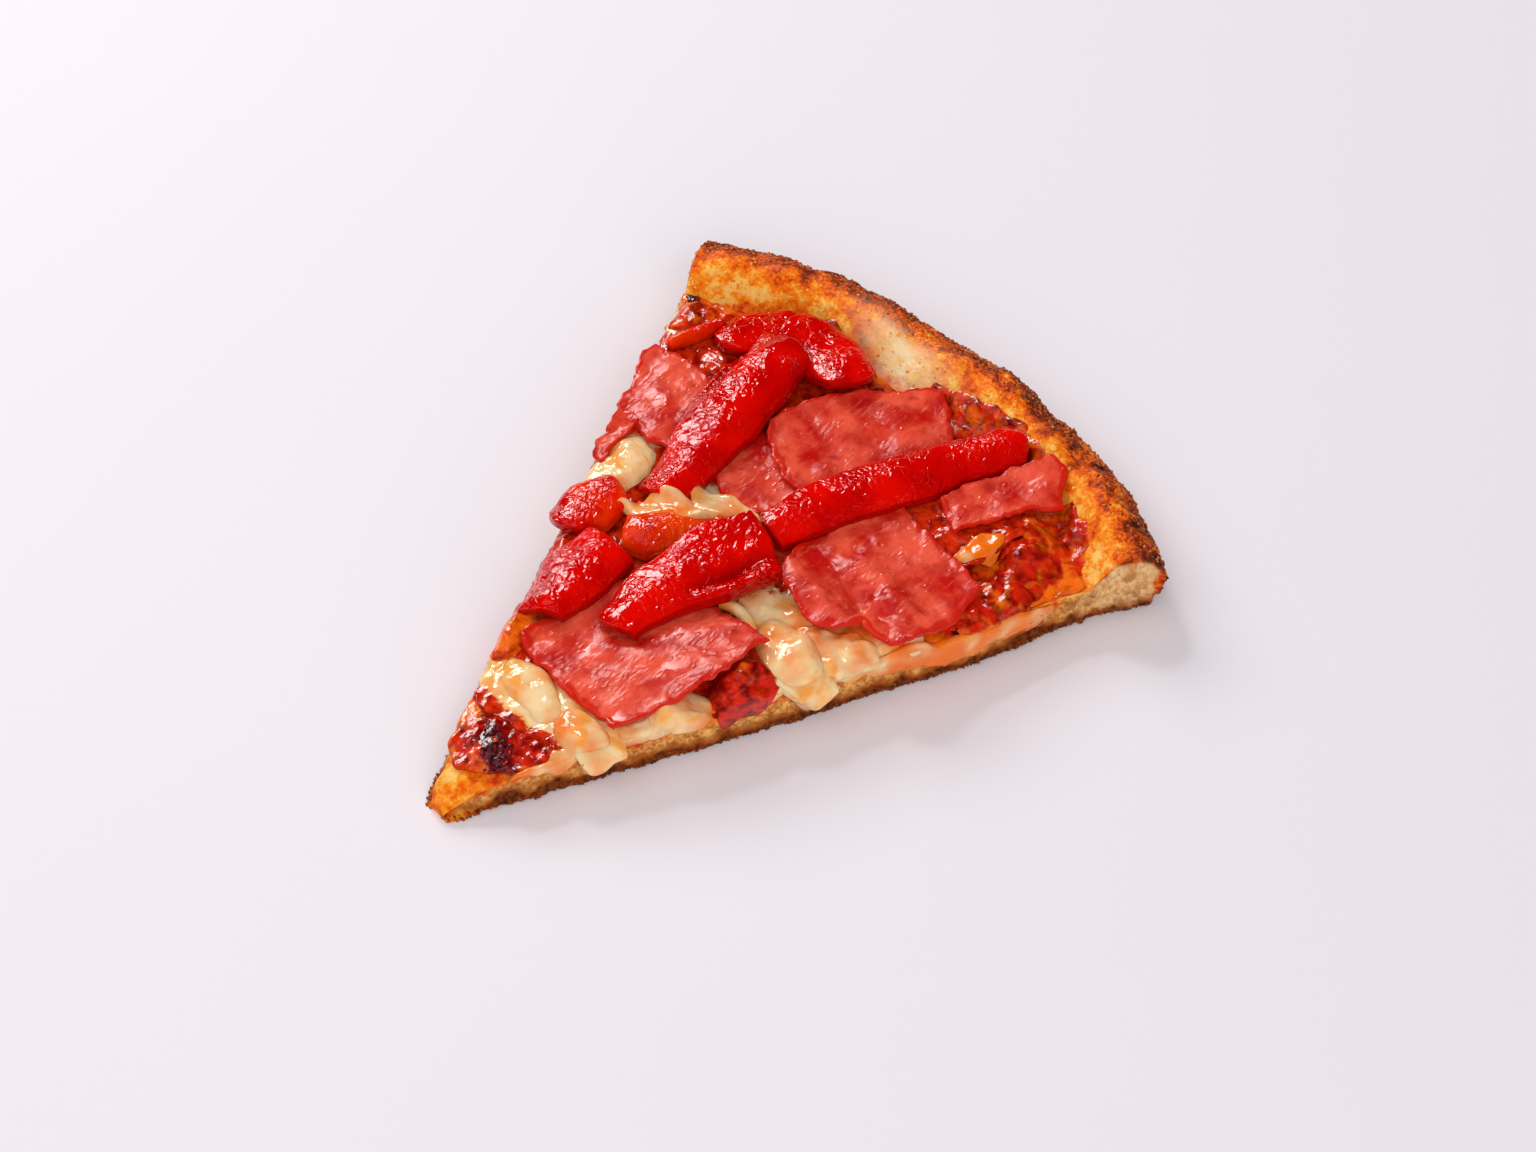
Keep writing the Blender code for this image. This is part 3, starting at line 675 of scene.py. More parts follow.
# ---- Geometry node trees ------------------------------------------------------------------------------------


def open_tree(name, inputs):
    """A geometry tree with named inputs. Gives the tree and its inputs as wires."""
    group = bpy.data.node_groups.new(name, "GeometryNodeTree")
    group.interface.new_socket("Geometry", in_out="OUTPUT", socket_type="NodeSocketGeometry")
    for label, kind in inputs.items():
        group.interface.new_socket(label, in_out="INPUT", socket_type=kind)
    tree = Tree(group)
    start = group.nodes.new("NodeGroupInput")
    return tree, {label: Wire(tree, start.outputs[label]) for label in inputs}


def close_tree(tree, shape, material):
    """End a geometry tree: instances made real, smooth, with their material."""
    real = tree.node("GeometryNodeRealizeInstances", None, {"Geometry": shape})
    smooth = tree.node("GeometryNodeSetShadeSmooth", None, {"Geometry": real, "Shade Smooth": True})
    named = tree.node("GeometryNodeSetMaterial", None, {"Geometry": smooth, "Material": material})
    end = tree.tree.nodes.new("NodeGroupOutput")
    tree.tree.links.new(named.socket, end.inputs["Geometry"])
    return tree.tree


def strewn_tree():
    """Small uneven lumps strewn over the marked part of a surface."""
    inputs = {
        "Surface": "NodeSocketGeometry",
        "Mark": "NodeSocketString",
        "Density": "NodeSocketFloat",
        "Smallest": "NodeSocketVector",
        "Largest": "NodeSocketVector",
        "Seed": "NodeSocketInt",
        "Material": "NodeSocketMaterial",
    }
    tree, given = open_tree("strewn lumps", inputs)
    mark = tree.node("GeometryNodeInputNamedAttribute", {"data_type": "FLOAT"}, {"Name": given["Mark"]})
    spread = {"Mesh": given["Surface"], "Density": mark * given["Density"], "Seed": given["Seed"]}
    points = tree.node("GeometryNodeDistributePointsOnFaces", {"distribute_method": "RANDOM"}, spread)
    outward = Wire(tree, points.socket.node.outputs["Rotation"])
    limits = {0: given["Smallest"], 1: given["Largest"], "Seed": given["Seed"]}
    size = tree.node("FunctionNodeRandomValue", {"data_type": "FLOAT_VECTOR"}, limits)
    turns = {0: (0.0, 0.0, 0.0), 1: (0.6, 0.6, 6.3), "Seed": given["Seed"] + 1}
    turn = tree.node("FunctionNodeRandomValue", {"data_type": "FLOAT_VECTOR"}, turns)
    turned = tree.node("FunctionNodeRotateRotation", {"rotation_space": "LOCAL"}, {0: outward, 1: turn})
    lump = tree.node("GeometryNodeMeshIcoSphere", None, {"Radius": MM, "Subdivisions": 1})
    placed = {"Points": points, "Instance": lump, "Rotation": turned, "Scale": size}
    lumps_on = tree.node("GeometryNodeInstanceOnPoints", None, placed)
    real = tree.node("GeometryNodeRealizeInstances", None, {"Geometry": lumps_on})
    shake = tree.node("ShaderNodeTexNoise", None, {"Scale": 1100.0, "Detail": 1.0}, output="Color")
    centred = tree.node("ShaderNodeVectorMath", {"operation": "SUBTRACT"}, {0: shake, 1: (0.5, 0.5, 0.5)})
    shift = tree.node("ShaderNodeVectorMath", {"operation": "SCALE"}, {0: centred, "Scale": 0.9 * MM})
    uneven = tree.node("GeometryNodeSetPosition", None, {"Geometry": real, "Offset": shift})
    return close_tree(tree, uneven, given["Material"])


def strand_tree():
    """A drawn-out strand: a tube along a bowed line, thin in the middle and thick at both ends."""
    inputs = {
        "Start": "NodeSocketVector",
        "Middle": "NodeSocketVector",
        "End": "NodeSocketVector",
        "Thick": "NodeSocketFloat",
        "Waist": "NodeSocketFloat",
        "Material": "NodeSocketMaterial",
    }
    tree, given = open_tree("drawn-out strand", inputs)
    bow = {"Resolution": 40, "Start": given["Start"], "Middle": given["Middle"], "End": given["End"]}
    line = tree.node("GeometryNodeCurveQuadraticBezier", None, bow)
    along = tree.node("GeometryNodeSplineParameter")
    off_middle = tree.maths("ABSOLUTE", along * 2 - 1, 0.0)
    swell = given["Waist"] + (1 - given["Waist"]) * off_middle**1.5
    rounded_end = tree.maths("SQRT", 1.02 - off_middle**10, 0.0)
    wide = tree.node("GeometryNodeSetCurveRadius", None, {"Curve": line, "Radius": swell * rounded_end})
    ring = tree.node("GeometryNodeCurvePrimitiveCircle", None, {"Resolution": 12, "Radius": given["Thick"]})
    tube_inputs = {"Curve": wide, "Profile Curve": ring, "Fill Caps": True}
    tube = tree.node("GeometryNodeCurveToMesh", None, tube_inputs)
    return close_tree(tree, tube, given["Material"])


def grown(name, base, group, settings):
    """The plain mesh that a geometry tree makes on a base mesh."""
    carrier = bpy.data.objects.new(name + "_carrier", base)
    bpy.context.scene.collection.objects.link(carrier)
    modifier = carrier.modifiers.new("made", "NODES")
    modifier.node_group = group
    for item in group.interface.items_tree:
        if item.in_out == "INPUT" and item.name in settings:
            modifier[item.identifier] = settings[item.name]
    seen = carrier.evaluated_get(bpy.context.evaluated_depsgraph_get())
    mesh = bpy.data.meshes.new_from_object(seen)
    mesh.name = name
    bpy.data.objects.remove(carrier, do_unlink=True)
    places = np.empty(3 * len(mesh.vertices), dtype=np.float32)
    mesh.vertices.foreach_get("co", places)
    places[2::3] = np.maximum(places[2::3], 0.0)
    mesh.vertices.foreach_set("co", places)
    piece = bpy.data.objects.new(name, mesh)
    bpy.context.scene.collection.objects.link(piece)
    return piece


# ---- The pieces ---------------------------------------------------------------------------------------------


def rounded(a, b, share):
    """A square's places from -1 to 1, drawn in so that its corners are round. share says how round."""
    u = 2 * a - 1
    v = 2 * b - 1
    return u * np.sqrt(1 - share * v * v / 2), v * np.sqrt(1 - share * u * u / 2)


def ham_shape(corners, bulges, curls=(), seed=1):
    """A limp piece of cooked ham. Each curl is (u, v, direction in degrees, reach, rise)."""
    outline = patch(corners, bulges)

    def shape(a, b, c):
        u, v = rounded(a, b, 0.25)
        x, y = outline(u, v)
        rim = np.maximum(np.abs(u), np.abs(v)) ** 6
        shrink = 1 - 0.03 * np.abs(2 * c - 1) * rim
        middle = np.mean(corners, axis=0)
        x = middle[0] + (x - middle[0]) * shrink
        y = middle[1] + (y - middle[1]) * shrink
        rise = 0.35 * (lumps(x, y, 0, 14, seed) + 1)
        for at_u, at_v, heading, reach, height in curls:
            along = (u - at_u) * math.cos(math.radians(heading)) + (v - at_v) * math.sin(math.radians(heading))
            rise = rise + height * ease(along, 0, reach)
        body = HAM_THICK * (1 - 0.35 * rim)
        return x, y, rise + HAM_THICK * 0.5 + (c - 0.5) * body

    return shape


def pepper_shape(route, widths, arch, thick=PEPPER_THICK, ends=(0.0, 0.0), cup=0.0, seed=1, blunt=0.4):
    """A strip of cooked pepper along a route, skin side up.

    ends lift its two ends, cup turns up its sides, and blunt says how round its corners are. The squarest strips
    have a ridge along them.
    """
    route = np.array(route, dtype=float)
    knots = np.linspace(0, 1, len(route))
    fit = min(len(route) - 1, 3)
    line_x = np.polyfit(knots, route[:, 0], fit)
    line_y = np.polyfit(knots, route[:, 1], fit)

    def shape(a, b, c):
        u, v = rounded(a, b, blunt)
        along = (u + 1) / 2
        width = np.interp(along, np.linspace(0, 1, len(widths)), widths)
        step_x = np.polyval(np.polyder(line_x), along)
        step_y = np.polyval(np.polyder(line_y), along)
        length = np.hypot(step_x, step_y)
        edge = np.maximum(np.abs(v), np.abs(u) ** 3)
        half = v * width / 2 * (1 - 0.10 * c * edge**4)
        x = np.polyval(line_x, along) + half * step_y / length
        y = np.polyval(line_y, along) - half * step_x / length
        ridge = 1 - v * v if blunt > 0.3 else 1.2 * (1 - np.abs(v - 0.12 * (1 - v * v)) ** 1.5)
        hump = arch * ridge + cup * along * np.abs(v) ** 3
        hump = hump + ends[0] * (1 - along) ** 3 + ends[1] * along**3
        hump = hump + 0.3 * lumps(x, y, 0, 11, seed)
        body = thick * np.sqrt(np.clip(1 - 0.72 * edge**4, 0.05, 1))
        return x, y, np.maximum(hump, 0) + c * body

    return shape


def chunk_shape(middle, size, height, turn, seed):
    """A soft lump of tomato."""
    angle = math.radians(turn)

    def shape(a, b, c):
        u, v = rounded(a, b, 0.95)
        edge = np.clip(u * u + v * v, 0, 1)
        swell = 1 + 0.12 * lumps(u * 5, v * 5, c * 4, 5, seed)
        p = u * size[0] / 2 * swell * (1 - 0.12 * c)
        q = v * size[1] / 2 * swell * (1 - 0.12 * c)
        x = middle[0] + p * math.cos(angle) - q * math.sin(angle)
        y = middle[1] + p * math.sin(angle) + q * math.cos(angle)
        return x, y, c * height * (1 - 0.75 * edge**2)

    return shape


def crust_form(a, b, c):
    """The dough's points, and how far each of them is from the outside of the rim.

    a goes from the tip to the outside, b from the left cut at -1 to the right one at 1, and c up.
    """
    reach = SIDE + TIP_BACK + 1.2 - 2.7 * ease(np.abs(b), 0.55, 1.0)
    inner = reach - RIM_WIDTH - 4
    inside = TIP_RADIUS + (inner - TIP_RADIUS) * a / INNER_SHARE
    radius = np.where(a < INNER_SHARE, inside, inner + (reach - inner) * (a - INNER_SHARE) / RIM_SHARE)
    angle = b * HALF_ANGLE
    y = radius * np.cos(angle) - TIP_BACK
    x = radius * np.sin(angle)
    crest = RIM_CREST + 1.3 * lumps(x, y, 0, 17, 11) - 1.5 * bump(angle, -0.08, 0.06)
    top = base_top(y) + (crest - base_top(y)) * ease(radius, reach - RIM_WIDTH, reach - 0.5 * RIM_WIDTH)
    over = np.clip((radius - (reach - RIM_FALL)) / RIM_FALL, 0, 1)
    top = top * (1 - (1 - RIM_SHOULDER) * over**2.2)
    tip = ease(y, 26, 4)
    top = top + 0.35 * lumps(x, y, 0, 9, 12) + 0.7 * tip * lumps(x, y, 0, 6, 16)
    top = top - 2.2 * tip * np.abs(b) ** 3 - 2.4 * ease(radius, 12, 5) ** 2
    flat_radius = radius
    wall = ease(a, 0.97, 1.0)
    belly = 0.9 * np.sin(math.pi * c) + 0.7 * lumps(x, y, 0, 13, 13)
    radius = radius + wall * (belly - RIM_UNDERCUT * (1 - c) ** 2.5)
    y = radius * np.cos(angle) - TIP_BACK
    side = np.where(b < 0, -1.0, 1.0)
    x = radius * np.sin(angle)
    straight = side * (y + TIP_BACK) * math.tan(HALF_ANGLE)
    face = np.abs(b) ** 12
    x = x + (cut_x(y, side) - straight) * b * b
    inset = (0.7 + 0.7 * tip) * c**6 + 2.6 * ease(y, 128, 165) * (1 - c) ** 1.5 * (side > 0)
    lip = (0.8 + 0.4 * lumps(0, y, 0, 9, 15)) * bump(c, 0.1, 0.16) - 0.5 * (1 - c) ** 8
    x = x + side * face * (0.45 * lumps(x, y, c * top, 6, 14) * np.sin(math.pi * c) - inset + lip)
    return np.stack((x, y, c * top), axis=-1), reach - flat_radius


def crust_facets(facets, a, b, c):
    """The block's facets, with its flat underside in a few wide strips."""
    low = (c[facets] == 0).all(axis=1)
    kept = facets[~low].tolist()
    under = np.flatnonzero(c == 0)
    order = under[np.lexsort((b[under], a[under]))].reshape(CRUST_CELLS[0] + 1, CRUST_CELLS[1] + 1)
    ends = order[:, [0, -1]]
    first = order[0].tolist() + [int(ends[1, 1]), int(ends[1, 0])]
    last = [int(ends[-2, 0]), int(ends[-2, 1])] + order[-1][::-1].tolist()
    near, far = ends[1:-2], ends[2:-1]
    strips = np.stack((near[:, 0], near[:, 1], far[:, 1], far[:, 0]), axis=-1).tolist()
    kept += [first, *strips, last]
    used = np.zeros(len(a), dtype=bool)
    for facet in kept:
        used[facet] = True
    number = np.cumsum(used) - 1
    return [number[facet].tolist() for facet in kept], used


def crust_marks(points, b, c, from_edge):
    """Where the dough is toasted, open-crumbed, stained and pale, and where grains stick to it."""
    x, y, z = points.T

    # How baked the rim and its outer wall are
    side_on = np.abs(b) > AT_CUT
    on_cut = side_on & (c < 0.995)
    blotch = lumps(x, y, z, 12, 17)
    rim = ease(from_edge, RIM_WIDTH + 3, RIM_WIDTH - 6)
    outer = ease(from_edge + 1.8 * blotch, 12.5, 4)
    toast = 0.2 + 0.1 * rim * (0.6 + 0.5 * blotch) + (0.38 + 0.14 * blotch) * outer
    toast = toast + (0.3 * ease(z, 7, 1) - 0.26 * bump(z, 9.5, 4.5)) * (from_edge < 1)
    toast = toast - 0.12 * bump(from_edge, 14.5, 3) * ease(blotch, -0.4, 0.4)

    # The cuts: a baked foot, open crumb above it, and golden skin where the rim's outside begins
    foot = 2.2 + 0.9 * lumps(x, y, 0, 6, 18) + 1.6 * np.clip(lumps(x, y, 0, 12, 22), 0, 1)
    low_edge = ease(z, foot + 0.9, foot - 0.6)
    toast = np.where(on_cut, 0.6 + 0.22 * low_edge - 0.4 * ease(y, 12, 2), toast)
    skin = ease(from_edge, RIM_WIDTH, RIM_WIDTH - 5) * ease(c + 0.03 * lumps(x, y, z, 5, 24), 0.88, 0.97)
    near_wall = np.maximum(ease(from_edge + 0.8 * lumps(x, y, z, 5, 23), 3.4, 1.2), skin)
    crumb = np.where(on_cut, (1 - low_edge) * (1 - near_wall), 0.0)
    low = 0.9 * ease(z + 0.8 * lumps(x, y, z, 4, 21), foot + 3.4, foot + 0.4)
    toast = np.where(on_cut, np.maximum(toast, 0.55 * near_wall), toast)
    toast = np.where(c < UNDERSIDE, 0.78 + 0.1 * blotch, toast)

    # Sauce: along the inside of the rim, under the layers, and soaked down into the cuts
    inner_border = bump(from_edge + 1.5 * lumps(x, y, 0, 8, 19), RIM_WIDTH + 0.5, 3.2)
    stain = np.where(side_on, 0.0, 0.9 * inner_border)
    covered = ease(from_edge, RIM_WIDTH - 1, RIM_WIDTH + 5) * ease(y, 7, 13)
    stain = np.maximum(stain, np.where(side_on, 0.0, 0.95 * covered))
    depth = base_top(y) - z
    run = 4.2 + 1.6 * lumps(x, y, 0, 9, 20) + 2.2 * bump(y, 125, 20)
    soaked = 0.8 * ease(depth, run, 0.3)
    stain = np.where(on_cut, soaked * ease(from_edge, RIM_WIDTH - 2, RIM_WIDTH + 8), stain)

    # Pale dough at the rim's end and in one bare place on it, with a browner line beside that
    open_end = 0.5 * ease(y, 138, 152) * (1 - near_wall) * (1 - low)
    pale = np.where(on_cut, open_end, 1.2 * spot(x, y, (-14, 166), (12, 4.5), -5) * (~side_on))
    toast = toast + 0.4 * spot(x, y, (-19, 161.5), (10, 2.4), -20) * (~side_on)

    # Crumbs: on the rim, on its inner slope and along the foot
    wall = (from_edge < 1) * ease(z, 19, 12)
    speckled = np.maximum(outer * (0.55 - 0.35 * wall) + 0.2 * rim * (~side_on), 0.3 * low_edge * on_cut)
    on_wall = from_edge < OUTER_WALL
    grains = np.maximum(0.5 * ease(from_edge, 9, 3) * (~side_on), 0.4 * on_wall)
    gold = 0.12 * rim * ease(from_edge, 6, 11) * (~side_on)
    edge_grains = np.where(on_cut, ease(z, 1.9, 0.5), 0.0) + np.where(on_wall & (z < 3), 1.0, 0.0)
    return {
        "toast": toast,
        "crumb": crumb,
        "low": low,
        "foot": low_edge * on_cut * (1 - 0.7 * ease(y, 14, 3)),
        "stain": stain,
        "pale": pale,
        "speckled": speckled,
        "grains": grains * ease(z, 0.5, 1.5),
        "gold_grains": gold,
        "edge_grains": edge_grains * (c > UNDERSIDE),
    }


def make_crust(material, grain, gold, dark_grain, strewn, ground):
    """The dough, with an open crumb at its cuts and rough baked grains on its rim and along its foot."""
    (a, b, c), facets = block(CRUST_CELLS)
    over_rim = INNER_SHARE + RIM_SHARE * (a - INNER_ROWS) / (1 - INNER_ROWS)
    rows = np.where(a < INNER_ROWS, INNER_SHARE * a / INNER_ROWS, over_rim)
    b = 2 * b - 1
    points, from_edge = crust_form(rows, b, c)
    normals = corner_normals(points, facets)

    # Crags on the rim, and soft lumps on the bare tip
    on_top = (c > ON_TOP) | (from_edge < OUTER_WALL)
    rim = ease(from_edge, RIM_WIDTH + 2, RIM_WIDTH - 5)
    outer = ease(from_edge, 10, 3)
    relief = np.where(on_top, rim * 0.35 * rough(points, 3.4, 1) + outer * 0.5 * rough(points, 1.5, 2, 2), 0.0)
    bare = ease(points[:, 1], 14, 6)
    relief = relief + np.where(on_top, bare * 0.7 * rough(points, 3.6, 3, 2), 0.0)

    # Open crumb at the cuts, coarser towards the rim, and a ragged foot
    on_cut = (np.abs(b) > AT_CUT) & (from_edge > OUTER_WALL)
    near_rim = ease(points[:, 1], 125, 150)
    hollow = 0.6 * pores(points, 2.0, 4) + 1.3 * near_rim * pores(points, 3.8, 5)
    hollow = np.maximum(hollow, 0.8 * pores(points, 1.2, 6, 0.4))
    fade = ease(c, 0.0, 0.15) * ease(c, 1.0, 0.86) * ease(points[:, 1], -2, 6)
    relief = relief + np.where(on_cut, fade * (0.4 * rough(points, 2.0, 7) - 0.85 * hollow), 0.0)
    relief = relief + np.where(on_cut, fade * near_rim * 1.1 * rough(points, 3.8, 9, 3), 0.0)
    low = on_cut & (c < 0.3)
    relief = relief + np.where(low, 0.45 * rough(points, 1.3, 8, 2) * ease(c, 0.3, 0.1), 0.0)

    # The underside stays flat
    relief = np.where(c < UNDERSIDE, np.minimum(relief, 0.0), relief)
    points = points + normals * relief[:, None]
    points[:, 2] = np.where(c < UNDERSIDE, 0.0, np.maximum(points[:, 2], 0.05))
    marks = crust_marks(points, b, c, from_edge)
    # The pores' depth is also kept as a mark for painted shade, which darkens the crumb inside them
    marks["hollow"] = np.where(on_cut, np.clip(hollow * fade, 0, 1) * 0.8, 0.0)
    if enclosed(points, facets) < 0:
        facets = facets[:, ::-1]
    kept, used = crust_facets(facets, a, b, c)
    marks = {name: values[used] for name, values in marks.items()}
    piece = make_mesh("crust_skin", points[used], kept, material, marks)
    ground.add(points[c > ON_TOP])
    on_rim = {
        "Mark": "grains",
        "Density": 1.1 / MM**2,
        "Smallest": (0.2, 0.2, 0.16),
        "Largest": (0.6, 0.55, 0.4),
        "Seed": 3,
        "Material": grain,
    }
    at_foot = dict(on_rim, Mark="edge_grains", Density=1.5 / MM**2, Largest=(0.6, 0.5, 0.42), Seed=4)
    at_foot["Material"] = dark_grain
    on_slope = dict(on_rim, Mark="gold_grains", Seed=8, Material=gold)
    for name, settings in (("rim_grains", on_rim), ("gold_grains", on_slope), ("foot_grains", at_foot)):
        declare(grown(name, piece.data, strewn, settings))
    declare(piece, "crust")


def slab_shape(start, left, right, back, thick, seed, relief):
    """A spread layer between two edges. left and right give its limits across at each distance from the tip."""

    def shape(a, b, c):
        v = 2 * b - 1
        y = start(v) + a * (back(v) - start(v))
        x = left(y) + b * (right(y) - left(y))
        edge = np.maximum(np.abs(v) ** 10, np.abs(2 * a - 1) ** 16)
        body = thick * (1 - 0.55 * edge) + relief * (lumps(x, y, 0, 12, seed) + 0.4) * (1 - edge)
        return x, y, c * body

    return shape


# Places on the sauce and the cheese: how strong the spot is, its middle, its size and its turn in degrees
SAUCE_THICKER = [(1.0, (3, 21), (14, 9), 15), (0.7, (48, 130), (9, 22), -8)]
SAUCE_BURNT = [
    (1.1, (2.5, 17), (3.6, 8.0), 60),
    (0.9, (9.5, 12), (2.2, 1.6)),
    (1.0, (51, 131), (2.5, 2.0)),
    (1.0, (53, 115), (2.2, 2.0)),
    (1.0, (50, 145), (2, 2)),
    (1.0, (-66, 146), (2.2, 2.6)),
    (1.0, (-33, 37), (2, 3)),
    (0.8, (-25, 47), (2, 3)),
]
SAUCE_OILY = [(1.0, (44, 134), (3, 7), 60), (0.7, (5, 10), (8, 4)), (1.4, (-12, 20), (3.5, 8), 25)]
SAUCE_PULPY = [(1.0, (44, 137), (7, 12)), (1.0, (3, 22), (9, 6)), (1.0, (33, 66), (5, 9))]
CHEESE_BARE = [
    (1.0, (-39, 95), (6.5, 11)),
    (1.0, (-10, 103), (9, 5), 10),
    (1.3, (33, 93), (23, 8), 24),
    (1.2, (42, 77), (8, 8)),
    (1.3, (2, 33), (22, 6.5), 8),
    (1.0, (20, 36), (7, 8)),
    (1.0, (31, 52), (9, 6), 40),
    (1.0, (-64, 137), (4, 6)),
    (1.0, (50, 101), (8, 6), 30),
]
CHEESE_OILY = [(1.0, (28, 86), (6, 3), 30), (1.0, (-6, 99), (6, 3)), (0.6, (40, 98), (8, 3), 30)]


def sauce_look(a, b, c, points):
    """Pulpy relief, oily places and burnt ones."""
    x, y, z = points.T
    thick = spots(x, y, SAUCE_THICKER)
    relief = 0.4 * rough(points, 4.2, 21, 2) + 0.15 * lumps(x, y, z, 2.6, 22)
    relief = (relief + thick * (0.8 + 0.7 * rough(points, 6.5, 24, 2))) * ease(c, 0.2, 1.0)
    char = spots(x, y, SAUCE_BURNT)
    relief = relief + 0.7 * np.clip(char, 0, 1) * ease(c, 0.2, 1)
    at_edges = 0.6 * bump(a, 1.0, 0.08) + 0.7 * bump(b, 1.0, 0.03) + 0.5 * bump(b, 0.0, 0.04)
    upper = c > 0.9
    marks = {
        "char": char,
        "oil": spots(x, y, SAUCE_OILY) + at_edges,
        "flakes": np.clip(1.6 * char - 0.6, 0, 1) * upper,
        "pulp": spots(x, y, SAUCE_PULPY) * upper,
    }
    return warped(points, 4.0, 0.5, 23), relief, marks


def cheese_right(y):
    """The right edge of the cheese: out to the cut in three tongues, and drawn back between them."""
    edge = cut_x(y, 1)
    back = 13 * bump(y, 63, 7.5) + 17 * ease(y, 104, 116) + 3 * ease(y, 130, 150) - 1.5 * bump(y, 118, 8)
    return edge - 1.2 - back


def drip(y):
    """How far the cheese hangs down the right cut."""
    return 6.5 * bump(y, 31, 5) + 8.0 * bump(y, 78.5, 3.8)


def cheese_along(a, b):
    """How far from the tip each place along the cheese is."""
    v = 2 * b - 1
    start = 24 + 3 * v + 2 * v * v
    return start + a * (157 - 14 * v * v - start)


def cheese_shape(a, b, c):
    """Melted cheese, with two thick drips over the right cut."""
    y = cheese_along(a, b)
    left = cut_x(y, -1) + 1.4
    limit = cheese_right(y)
    hang = np.clip((b - HANGING) / (1 - HANGING), 0, 1)
    flow = ease(drip(y), 0.3, 2.0)
    x_top = left + np.minimum(b / HANGING, 1) * (limit - left)
    edge = np.maximum(np.clip(1 - b / 0.04, 0, 1), np.abs(2 * a - 1) ** 16)
    body = CHEESE_THICK * (1 - 0.5 * edge) + CHEESE_RELIEF * (lumps(x_top, y, 0, 13, 31) + 0.2) * (1 - edge)
    body = np.maximum(body, CHEESE_THINNEST)
    # The edge of the cheese where nothing hangs from it, and then where a drip does
    still_x = x_top + 1.8 * hang
    still_z = c * body * (1 - 0.6 * hang)
    bulb = DRIP_NECK + DRIP_BULB * np.sin(math.pi * hang**1.6 * 0.72)
    turned = ease(hang, 0.0, DRIP_TURN)
    turn = turned * math.pi / 2
    out = cut_x(y, 1) + DRIP_STANDS_OFF - x_top
    flow_x = x_top + out * turned + c * bulb * np.sin(turn) * (1 - 0.45 * hang**6)
    fall = drip(y) * np.clip((hang - DRIP_TURN) / (1 - DRIP_TURN), 0, 1)
    flow_z = c * body * np.cos(turn) - fall - c * (1 - hang) * 0.2 + 1.2 * c * hang**6
    x = still_x + (flow_x - still_x) * flow
    z = still_z + (flow_z - still_z) * flow
    return x, y, z


def cheese_free(a, b):
    """Which columns of the cheese hang free, and the height from which they hang."""
    y = cheese_along(a, b)
    held = (b > HANGING + 0.02) & (drip(y) > 0.4)
    return held, base_top(y) + SAUCE_THICK + 1.2


def cheese_look(a, b, c, points):
    """Soft flowing relief, and sauce over what isn't bare cheese."""
    x, y, z = points.T
    bare = np.clip(spots(x, y, CHEESE_BARE), 0, 1)
    relief = 0.35 * lumps(x, y, z, 6.5, 31) + 0.14 * lumps(x, y, z, 3.0, 32) + 0.05 * rough(points, 1.8, 32, 2)
    relief = relief * ease(c, 0.2, 1.0) + 0.5 * (bare - 0.6) * ease(c, 0.3, 1) * (b < HANGING)
    return warped(points, 7.0, 0.5, 33), relief, {"sauced": 1 - bare, "oil": spots(x, y, CHEESE_OILY)}


def ham_look(seed, folds=(), pulls=()):
    """Broad soft waves, an uneven outline, and baked edges.

    Each fold is (middle, size, turn, rise), and each pull (middle, size, turn, shift across and along).
    """

    def look(a, b, c, points):
        x, y = points[:, 0], points[:, 1]
        edge = ease(np.maximum(np.abs(2 * a - 1), np.abs(2 * b - 1)), 0.84, 1.0)
        relief = (0.08 * rough(points, 4.5, seed, 2) + 0.04 * rough(points, 1.3, seed + 1, 2)) * (c > 0.4)
        shift = warped(points, 9.0, 0.8, seed) + warped(points, 3.2, 0.4, seed + 2)
        shift[:, 2] += 0.3 * lumps(x, y, 0, 8, seed + 3) + 0.35 * edge * (lumps(x, y, 0, 5, seed + 4) + 0.3)
        for middle, size, turn, rise in folds:
            shift[:, 2] += rise * spot(x, y, middle, size, turn)
        for middle, size, turn, (across, along) in pulls:
            pulled = spot(x, y, middle, size, turn)
            shift[:, 0] += across * pulled
            shift[:, 1] += along * pulled
        return shift, relief, {"edge": edge}

    return look


def pepper_look(seed, flesh=0.0, folds=()):
    """Wrinkled skin on top, lighter cut edges, and painted shade on the walls and in the sunken creases. Each fold
    is (middle, size, turn, rise).

    flesh says how much of the top is the inside of the pepper.
    """

    def look(a, b, c, points):
        x, y, z = points.T
        u = np.abs(2 * a - 1)
        v = np.abs(2 * b - 1)
        out = np.maximum(v, u**2)
        wrinkled = ease(lumps(x, y, z, 15, seed + 5), -0.5, 0.4)
        relief = 0.1 * rough(points, 4.0, seed, 1) + (0.03 + 0.1 * wrinkled) * rough(points, 2.1, seed + 1, 1)
        # Painted shade: side marks the strip's walls below its top, which the material paints a darker red
        side = ease(out, 0.93, 1.0) * ease(c, 0.9, 0.5)
        edge = bump(out, 0.985, 0.02) * ease(c, 0.75, 1.0) * 0.9
        shift = warped(points, 15.0, 0.6, seed)
        for middle, size, turn, rise in folds:
            crease = spot(x, y, middle, size, turn)
            shift[:, 2] += rise * crease * c
            # Sunken creases get painted shade as well
            side = np.maximum(side, (rise < 0) * crease)
        return shift, relief * (0.3 + 0.7 * ease(c, 0.2, 1)), {"edge": edge, "side": side, "flesh": flesh}

    return look


def chunk_look(seed):
    """Broken, fleshy relief."""

    def look(a, b, c, points):
        relief = 0.9 * rough(points, 4.2, seed, 2) + 0.1 * rough(points, 1.2, seed + 1, 1)
        return warped(points, 6.0, 0.6, seed), relief * ease(c, 0.0, 0.6), {}

    return look


